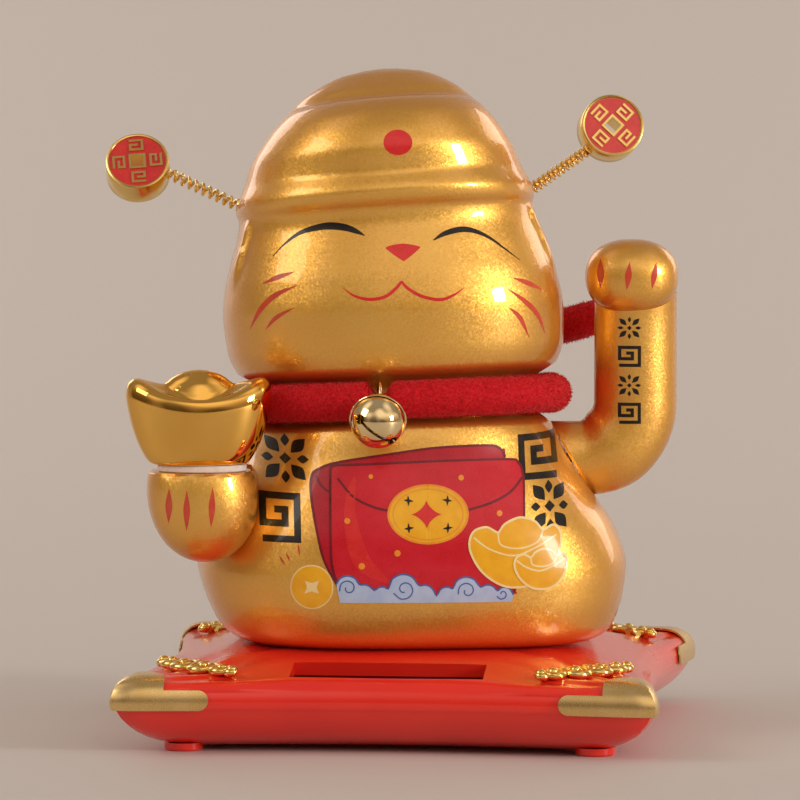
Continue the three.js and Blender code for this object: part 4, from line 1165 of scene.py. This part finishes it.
def add_ingot():
    knots = [Vector((a, b, c)) for a, b, c, _ in INGOT_LEVELS]
    rises = [Vector((rise, 0, 0)) for *_, rise in INGOT_LEVELS]
    rings = []
    for level, rise in zip(smooth_path(knots, 7), smooth_path(rises, 7)):
        rings.append([Vector((INGOT["x"] + level.x * math.cos(angle),
                              INGOT["y"] + level.y * math.sin(angle),
                              INGOT["z"] + level.z + rise.x * math.cos(angle) ** 2))
                      for angle in around(144)])
    add_piece("gold_ingot", skin(rings), MIRROR_GOLD, replaces="ingot")
    height = INGOT["z"] - PAW_TOP - GAP / 2
    pad = turned([(0.01, 0), (0.97, 0), (1, 0.2), (1, height - 0.2), (0.97, height),
                  (0.01, height)], 96)
    place = Matrix.Translation((INGOT["x"] + 0.6, INGOT["y"], PAW_TOP + GAP / 4))
    place = place @ Matrix.Diagonal((8.3, 5.2, 1, 1))
    add_piece("foam_pad", moved(pad, place), FOAM, replaces="ingot_pad")


add_ingot()


# ------------------------------------------------------------------ prints
# Each print is an outline seen from the cat's front, in its X and Z, laid on the surface.
def leaf(start, end, width, bow=0.0):
    """A stroke that is widest in the middle; bow bends it sideways."""
    start, end = Vector(start), Vector(end)
    across = Vector((-(end - start).y, (end - start).x)).normalized()
    middle = (start + end) / 2 + across * bow
    return stroke([start, middle, end], [0.05, width, 0.05])


def stroke(points, widths, steps=8):
    """A line with a width at each of its points."""
    if not isinstance(widths, (list, tuple)):
        widths = [widths] * len(points)
    path = smooth_path([(p[0], p[1], 0) for p in points], steps)
    wide = smooth_path([(w, 0, 0) for w in widths], steps)
    left, right = [], []
    for point, along, width in zip(path, directions(path), wide):
        across = Vector((-along.y, along.x, 0)) * max(width.x, 0.04) / 2
        left.append((point + across).xy)
        right.append((point - across).xy)
    return left + right[::-1]


def straight_stroke(points, width):
    """A line of even width with mitred corners."""
    points = [Vector(p) for p in points]
    left, right = [], []
    for i, point in enumerate(points):
        before = (point - points[i - 1]).normalized() if i else None
        after = (points[i + 1] - point).normalized() if i + 1 < len(points) else None
        before, after = before or after, after or before
        mitre = Vector((-(before + after).y, (before + after).x)).normalized()
        reach = width / 2 / max(mitre.dot(Vector((-before.y, before.x))), 0.3)
        left.append(point + mitre * reach)
        right.append(point - mitre * reach)
    return left + right[::-1]


def oval(centre, rx, rz, steps=56):
    return [Vector((centre[0] + rx * math.cos(angle), centre[1] + rz * math.sin(angle)))
            for angle in around(steps)]


def rounded(points):
    """A closed outline that passes smoothly through the points."""
    return [p.xy for p in smooth_path([(x, z, 0) for x, z in points], 6, closed=True)]


PRINT_PITCH = 0.5
LAYER_STEP = 0.03


def lay(name, outlines, material, layer=1, surface=None, body="root"):
    """Lays outlines on a surface as a thin skin; layer is its place in the stack."""
    surface = surface or BODY_SURFACE
    bm = bmesh.new()
    for outline in outlines:
        ring = [bm.verts.new((p[0], 0, p[1])) for p in outline]
        edges = [bm.edges.new((a, b)) for a, b in zip(ring, ring[1:] + ring[:1])]
        bmesh.ops.triangle_fill(bm, edges=edges, use_beauty=True)
    for axis in (0, 2):
        places = [v.co[axis] for v in bm.verts]
        normal = Vector((axis == 0, 0, axis == 2))
        line = math.ceil(min(places) / PRINT_PITCH)
        while line * PRINT_PITCH < max(places):
            bmesh.ops.bisect_plane(bm, geom=everything(bm), plane_no=normal,
                                   plane_co=normal * line * PRINT_PITCH)
            line += 1
    for vert in bm.verts:
        hit, normal, _, _ = surface.ray_cast(Vector((vert.co.x, -90, vert.co.z)),
                                             Vector((0, 1, 0)))
        if hit:
            vert.co = hit + normal * LAYER_STEP * layer
    bmesh.ops.triangulate(bm, faces=bm.faces[:])
    for face in bm.faces:
        face.normal_update()
        if face.normal.y > 0:
            face.normal_flip()
    mesh = bpy.data.meshes.new(name)
    bm.to_mesh(mesh)
    bm.free()
    return add_piece(name, mesh, material, body, sharp=180)


def add_face():
    lay("print_eye_left", [stroke(
        [(-27.2, 91.1), (-25.1, 93.4), (-22.2, 95.6), (-18.9, 96.7), (-16.4, 97.0),
         (-13.8, 96.7), (-11.8, 96.0), (-10.4, 95.3)],
        [0.08, 0.3, 0.7, 1.15, 1.35, 1.25, 0.85, 0.15])], BLACK_INK)
    lay("print_eye_right", [stroke(
        [(2.4, 94.4), (4.6, 95.6), (7.7, 96.3), (10.4, 95.9), (13.2, 94.6), (16.1, 92.5),
         (19.0, 90.3)], [0.2, 0.9, 1.05, 0.8, 0.5, 0.3, 0.08])], BLACK_INK)
    lay("print_nose", [rounded([(-6.4, 93.2), (-3.5, 93.8), (-0.3, 93.3), (-0.6, 92.6),
                                (-2.9, 90.8), (-3.6, 90.8), (-5.9, 92.4)])], RED_INK)
    lay("print_mouth", [stroke(
        [(-14.6, 85.7), (-12.4, 84.2), (-9.6, 83.6), (-6.8, 84.1), (-4.9, 85.5),
         (-3.7, 86.9)], [0.1, 0.45, 0.62, 0.6, 0.6, 0.5]), stroke(
        [(-3.75, 86.9), (-2.4, 85.5), (0.2, 84.1), (3.5, 83.5), (6.0, 84.3), (8.0, 85.6)],
        [0.5, 0.6, 0.6, 0.62, 0.45, 0.1])], RED_INK)
    lay("print_whiskers", [
        leaf((-29.3, 85.9), (-23.3, 88.5), 0.85, 0.15),
        stroke([(-31.4, 77.3), (-29.6, 81.1), (-26.9, 84.0), (-22.9, 86.0)],
               [0.06, 0.8, 0.9, 0.1]),
        stroke([(-28.7, 77.4), (-26.7, 79.9), (-23.4, 81.9)], [0.06, 0.75, 0.08]),
        leaf((17.4, 87.2), (23.5, 84.5), 0.9, 0.2),
        stroke([(16.4, 85.2), (19.8, 82.7), (22.4, 80.0), (24.0, 76.2)],
               [0.08, 0.85, 0.8, 0.06]),
        stroke([(16.6, 81.7), (18.8, 79.7), (20.7, 75.8)], [0.08, 0.85, 0.06]),
    ], CLAW_INK)
    lay("print_hat_dot", [oval((-4.2, 112.6), 2.7, 2.35)], RED_INK)


MAIN_PURSE = [(-16.9, 51.2), (-16.3, 52.4), (-12.7, 52.7), (3.4, 53.4), (16.1, 53.4),
              (18.4, 52.6), (19.2, 50.4), (19.2, 46.2), (18.8, 38), (17.4, 30.2),
              (16.0, 28.6), (-0.6, 28.3), (-14.0, 28.7), (-15.4, 29.8), (-16.9, 34.4),
              (-17.1, 43)]
REAR_LINE = [(-15.3, 29.6), (-16.7, 31.9), (-18.5, 35.6), (-19.6, 40.4), (-20.5, 46.4),
             (-20.4, 50.2), (-19.2, 51.7), (-15.1, 53.2), (-4.0, 55.0), (3.5, 55.9),
             (12.3, 56.1), (14.9, 55.4), (15.9, 53.8)]
PURSE_COIN = (1.0, 43.7)


def cloud_top(x):
    """The height of the cloud bank's scalloped top."""
    humps = [(-14.0, 30.2, 2.2), (-11.0, 28.9, 1.9), (-7.6, 28.7, 1.7), (-3.7, 29.9, 2.8),
             (0.2, 28.7, 2.0), (4.4, 28.5, 1.8), (8.0, 29.6, 2.5), (12.0, 28.7, 1.9),
             (15.2, 28.5, 1.6)]
    heights = [z + math.sqrt(r * r - (x - cx) ** 2) for cx, z, r in humps
               if abs(x - cx) < r]
    return max(heights, default=28.6)


def add_purse():
    rear = REAR_LINE + [(14, 40), (-13, 34)]
    lay("print_purse_rear", [[Vector(p) for p in rounded(rear)]], REAR_INK)
    lay("print_purse_main", [rounded(MAIN_PURSE)], PURSE_INK, 2)
    lay("print_purse_lines", [
        stroke(REAR_LINE, 0.42),
        stroke(MAIN_PURSE[-1:] + MAIN_PURSE[:11], 0.42),
        stroke([(-15.6, 50.2), (-12.8, 46.9), (-9.2, 45.1), (-6.2, 44.4)], 0.45),
        stroke([(7.9, 44.3), (12.7, 45.6), (16.6, 47.5), (19.0, 50.0)], 0.45),
        stroke([(-19.6, 50.6), (-18.6, 48.8), (-17.1, 47.7)], 0.35),
        stroke([(-16.9, 51.4), (-17.1, 43), (-16.9, 34.4), (-15.4, 29.8)], 0.42),
    ], DARK_INK, 3)
    shine = [(-6.0, 31), (-12.6, 34), (-14.6, 42), (-13.9, 48), (-12.2, 50.5),
             (-12.4, 44), (-10, 36)]
    lay("print_purse_sheen", [rounded(shine)], RED_INK, 3)
    dots = [(-9.5, 50.6, 0.42), (7.3, 50.3, 0.52), (-14.0, 42.5, 0.55), (14.4, 43.7, 0.55),
            (-4.8, 36.6, 0.6), (-11.4, 34.2, 0.6), (9.6, 38.4, 0.5)]
    lay("print_purse_dots", [oval((x, z), r, r, 20) for x, z, r in dots], ORANGE_INK, 4)
    x, z = PURSE_COIN
    lay("print_clasp_rim", [oval((x, z), 7.6, 5.5)], ORANGE_INK, 4)
    lay("print_clasp", [oval((x, z), 7.2, 5.15)], YELLOW_INK, 5)
    line = oval((x, z), 6.5, 4.6)
    lay("print_clasp_line", [stroke([*line, line[0]], 0.16, 2)], ORANGE_INK, 6)
    diamond = []
    for angle in around(48):
        reach = (abs(math.cos(angle)) ** 0.72 + abs(math.sin(angle)) ** 0.72) ** (-1 / 0.72)
        diamond.append(Vector((x - 0.3 + 2.8 * reach * math.cos(angle),
                               z + 2.5 * reach * math.sin(angle))))
    lay("print_clasp_hole", [diamond], RED_INK, 7)
    marks = []
    for sx in (-1, 1):
        for sz in (-1, 1):
            at = Vector((x + sx * 3.6, z + sz * 2.5))
            marks.append(leaf(at + Vector((-0.9, 0.15 * sz)), at + Vector((0.9, -0.1 * sz)),
                              0.5))
            marks.append(leaf(at + Vector((0.1 * sx, 0.95)), at + Vector((0, -0.95)), 0.45))
    lay("print_clasp_marks", marks, BLACK_INK, 7)


def add_cloud_bank():
    left, right, floor = -16.1, 16.9, 27.35
    steps = 110
    across = [left + (right - left) * i / steps for i in range(steps + 1)]
    top = [Vector((x, cloud_top(x))) for x in across]
    bank = top + [Vector((x, floor)) for x in (16.6, 0, -15.4)]
    lay("print_cloud_bank", [bank], SKY_INK, 4)
    scrolls = []
    for centre, radius, hand, turns in (((-13.9, 30.1), 1.7, 1, 1.2),
                                        ((-3.5, 29.9), 2.1, -1, 1.3),
                                        ((8.2, 29.5), 1.8, 1, 1.2),
                                        ((14.8, 28.8), 1.1, -1, 1)):
        path = spiral(centre, radius, turns, math.radians(200), -hand)
        scrolls.append(stroke(path[::3], 0.24, 3))
    scrolls.append(stroke([(p.x, p.y) for p in top[::2]], 0.3, 2))
    lay("print_cloud_lines", scrolls, BLUE_INK, 5)


BOAT = [(-8.6, 2.5), (-7.6, 4.6), (-5.2, 5.2), (-3.2, 4.2), (-2, 5.6), (1, 6.8), (4, 5.9),
        (5.4, 4.4), (7.4, 5.2), (8.8, 3.6), (8.4, 0.2), (6.4, -3.4), (3.3, -5.6),
        (-1.7, -5.8), (-5.8, -3.4), (-8, -0.2)]
BOAT_RIM = [(-7.8, 3.4), (-4.8, 1.2), (-0.2, -0.1), (4.3, 1.4), (8, 3.4)]
BOAT_DOME = [(-3.2, 4.0), (-2.6, 1.9), (0.8, 1.2), (4.2, 2.2), (5.4, 4.2)]


def placed(points, centre, size):
    return [(centre[0] + x * size, centre[1] + z * size) for x, z in points]


def add_small_prints():
    for name, centre, size, layer in (("large", (17.2, 36.0), 1, 5),
                                      ("small", (22.0, 33.0), 0.58, 8)):
        hull = rounded(placed(BOAT, centre, size))
        lines = [stroke([*hull[::3], hull[0]], 0.42, 3),
                 stroke(placed(BOAT_RIM, centre, size), 0.34),
                 stroke(placed(BOAT_DOME, centre, size), 0.34)]
        lay(f"print_ingot_{name}", [hull], YELLOW_INK, layer)
        lay(f"print_ingot_{name}_lines", lines, PALE_INK, layer + 1)
    x, z = -20.6, 30.2
    lay("print_coin_edge", [oval((x, z), 3.95, 4.15)], PALE_INK, 1)
    lay("print_coin_face", [oval((x, z), 3.7, 3.9)], YELLOW_INK, 2)
    square = [Vector((x + a, z + b)) for a, b in ((-1.3, -1.2), (0, -0.8), (1.3, -1.2),
                                                  (0.9, 0), (1.3, 1.2), (0, 0.8),
                                                  (-1.3, 1.2), (-0.9, 0))]
    lay("print_coin_hole", [square], PALE_INK, 3)
    lay("print_sparks", [leaf((-26.5, 35.8), (-25.5, 34.1), 0.4),
                         leaf((-25.3, 36.5), (-24.6, 34.9), 0.4),
                         leaf((-23.1, 38.1), (-22.8, 36.0), 0.4)], CLAW_INK)


FRET = [(-1, -0.95), (1, -0.95), (1, 0.95), (-0.95, 0.95), (-0.95, -0.25), (0.3, -0.25),
        (0.3, 0.35), (-0.3, 0.35)]


def fret(centre, width, height, line, mirrored=False):
    """A square scroll, as on a fretwork border."""
    hand = -1 if mirrored else 1
    reach = Vector((width / 2 - line / 2, height / 2 - line / 2))
    return [straight_stroke([Vector((centre[0] + hand * u * reach.x,
                                     centre[1] + v * reach.y)) for u, v in FRET], line)]


def blossom(centre, width, height, thickness):
    """Four leaves and four buds about a diamond."""
    centre = Vector(centre)
    parts = []
    for i in range(8):
        angle = i * math.pi / 4 + math.pi / 4
        way = Vector((math.cos(angle) * width / 2, math.sin(angle) * height / 2))
        if i % 2 == 0:
            parts.append(leaf(centre + way * 0.34, centre + way * 1.2, thickness * 1.5))
        else:
            parts.append(leaf(centre + way * 0.5, centre + way * 1.0, thickness))
    core = [centre + Vector(p) * thickness * 0.7 for p in ((1, 0), (0, 1), (-1, 0), (0, -1))]
    return [*parts, core]


def add_ornaments():
    """Plain fret and blossom ornaments in the places of the painted words."""
    lay("print_ornament_left_top", blossom((-25.0, 53.4), 8.4, 8.8, 1.5), BLACK_INK)
    lay("print_ornament_left_low", fret((-26.3, 42.8), 7.6, 9.4, 1.25), BLACK_INK)
    lay("print_ornament_right_top", fret((22.6, 53.6), 8.2, 8.6, 1.25, True), BLACK_INK)
    lay("print_ornament_right_low", blossom((24.2, 44.6), 7.4, 9.2, 1.5), BLACK_INK)
    for i, z in enumerate((76.5, 71.1, 65.6, 60.3)):
        shape = blossom if i % 2 == 0 else fret
        lay(f"print_arm_ornament_{i + 1}", shape((41.0, z), 4.4, 4.2, 0.62), BLACK_INK,
            surface=ARM_SURFACE, body="arm")


def add_claws():
    lay("print_claws_holding", [leaf((-47.1, 48.8), (-47.2, 42.2), 1.25),
                                leaf((-43.9, 48.5), (-43.9, 40.9), 1.25),
                                leaf((-39.1, 49.1), (-39.4, 41.6), 1.25)], CLAW_INK)
    lay("print_claws_raised", [leaf((35.4, 89.7), (35.3, 84.3), 1.25),
                               leaf((40.7, 89.2), (40.1, 83.9), 1.25),
                               leaf((45.8, 89.1), (44.9, 84.1), 1.15)], CLAW_INK,
        surface=ARM_SURFACE, body="arm")


add_face()
add_purse()
add_cloud_bank()
add_small_prints()
add_ornaments()
add_claws()


# ------------------------------------------------------------------ pieces kept from the CAD
KEPT = {
    STEEL: ["body_screw_front", "body_screw_rear", "arm_axle", "axle_clip",
            "pendulum_magnet", "bell_clapper", *(f"base_screw_{name}" for name in CORNERS)],
    NYLON: ["coil_bobbin", "shoulder_bearing", "axle_post", "pendulum_lever"],
    CELL: ["solar_cell"],
    BOARD: ["circuit_board"],
    EPOXY: ["control_chip", "storage_capacitor"],
    COPPER: ["coil_winding"],
    RED_LEAD: ["solar_lead_red"],
    BLACK_LEAD: ["solar_lead_black"],
}
for material, names in KEPT.items():
    for name in names:
        slots = frame["nodes"][name].data.materials
        slots.clear()
        slots.append(material)


# ------------------------------------------------------------------ stage, lights, camera
def plain_material(name, color, roughness):
    material = bpy.data.materials.new(name)
    material.use_nodes = True
    shader = material.node_tree.nodes["Principled BSDF"]
    shader.inputs["Base Color"].default_value = (*color, 1)
    shader.inputs["Roughness"].default_value = roughness
    return material


def add_backdrop():
    """A table that turns up into a soft wall behind the object."""
    front, bend_at, radius, top, half_width = -2.2, 0.34, 0.5, 1.6, 2.6
    line = [Vector((0, front, 0)), Vector((0, bend_at, 0))]
    for i in range(1, 17):
        angle = i / 16 * math.pi / 2
        line.append(Vector((0, bend_at + radius * math.sin(angle),
                            radius * (1 - math.cos(angle)))))
    line.append(Vector((0, bend_at + radius, top)))
    points, faces = [], []
    for i, p in enumerate(line):
        points += [Vector((x, p.y, p.z)) for x in (-half_width, half_width)]
        if i:
            faces.append((2 * i - 2, 2 * i - 1, 2 * i + 1, 2 * i))
    mesh = to_mesh((points, faces))
    mesh.materials.append(plain_material("pale_table", (0.62, 0.58, 0.55), 0.6))
    mesh.shade_smooth()
    floor = bpy.data.objects.new("backdrop", mesh)
    bpy.context.scene.collection.objects.link(floor)


LIGHT_AIM = Vector((0, 0, 0.06))
LIGHTS = [
    # name, place in metres, width and height, watts, colour
    ("window", (1.02, -0.42, 0.30), (0.22, 0.26), 5.2, (1, 0.97, 0.93)),
    ("softbox", (-0.95, -0.5, 0.72), (0.6, 0.6), 3.4, (1, 0.94, 0.86)),
    ("rim_right", (0.5, 0.72, 0.2), (0.45, 0.7), 1.8, (1, 0.95, 0.92)),
    ("rim_left", (-0.5, 0.72, 0.2), (0.35, 0.7), 1.3, (1, 0.95, 0.92)),
]


def add_light(name, place, size, power, color):
    light = bpy.data.lights.new(name, "AREA")
    light.shape = "RECTANGLE"
    light.size, light.size_y = size
    light.energy = power
    light.color = color
    lamp = bpy.data.objects.new(name, light)
    lamp.location = place
    lamp.rotation_euler = (LIGHT_AIM - Vector(place)).to_track_quat("-Z", "Y").to_euler()
    bpy.context.scene.collection.objects.link(lamp)


ROOM = {"strength": 1.08, "horizon": (0.34, 0.24, 0.17), "overhead": (1.0, 0.86, 0.74)}


def add_world():
    """An uneven room: bright overhead, darker and warmer towards the horizon."""
    world = bpy.data.worlds.new("room")
    bpy.context.scene.world = world
    world.use_nodes = True
    room = Tree(world.node_tree)
    background = room.tree.nodes["Background"]
    background.inputs["Strength"].default_value = ROOM["strength"]
    parts = room.add("ShaderNodeSeparateXYZ")
    room.link(room.add("ShaderNodeTexCoord").outputs["Generated"], parts.inputs["Vector"])
    height = room.range(parts.outputs["Z"], 0.02, 0.5, 0, 1)
    height.node.interpolation_type = "SMOOTHSTEP"
    sky = room.blend(height, ROOM["horizon"], ROOM["overhead"])
    patches = room.add("ShaderNodeTexNoise")
    patches.inputs["Scale"].default_value = 1.5
    patches.inputs["Detail"].default_value = 0
    uneven = room.add("ShaderNodeVectorMath", operation="SCALE")
    room.link(sky, uneven.inputs["Vector"])
    room.link(room.range(patches.outputs["Fac"], 0.38, 0.62, 0.3, 1), uneven.inputs["Scale"])
    room.link(uneven.outputs["Vector"], background.inputs["Color"])


CAMERA = {"azimuth": math.radians(6.2), "elevation": math.radians(4.5),
          "distance": 1.423, "lens": 337.05, "aim": Vector((-0.0021, 0, 0.0625))}


def add_camera():
    azimuth, elevation = CAMERA["azimuth"], CAMERA["elevation"]
    back = Vector((math.sin(azimuth) * math.cos(elevation),
                   -math.cos(azimuth) * math.cos(elevation), math.sin(elevation)))
    data = bpy.data.cameras.new("camera")
    data.sensor_width = 36
    data.lens = CAMERA["lens"]
    data.clip_start, data.clip_end = 0.1, 20
    camera = bpy.data.objects.new("camera", data)
    camera.location = CAMERA["aim"] + back * CAMERA["distance"]
    camera.rotation_euler = (-back).to_track_quat("-Z", "Y").to_euler()
    bpy.context.scene.collection.objects.link(camera)
    bpy.context.scene.camera = camera


add_backdrop()
add_world()
for light in LIGHTS:
    add_light(*light)
add_camera()
bpy.context.scene.view_settings.view_transform = "Standard"
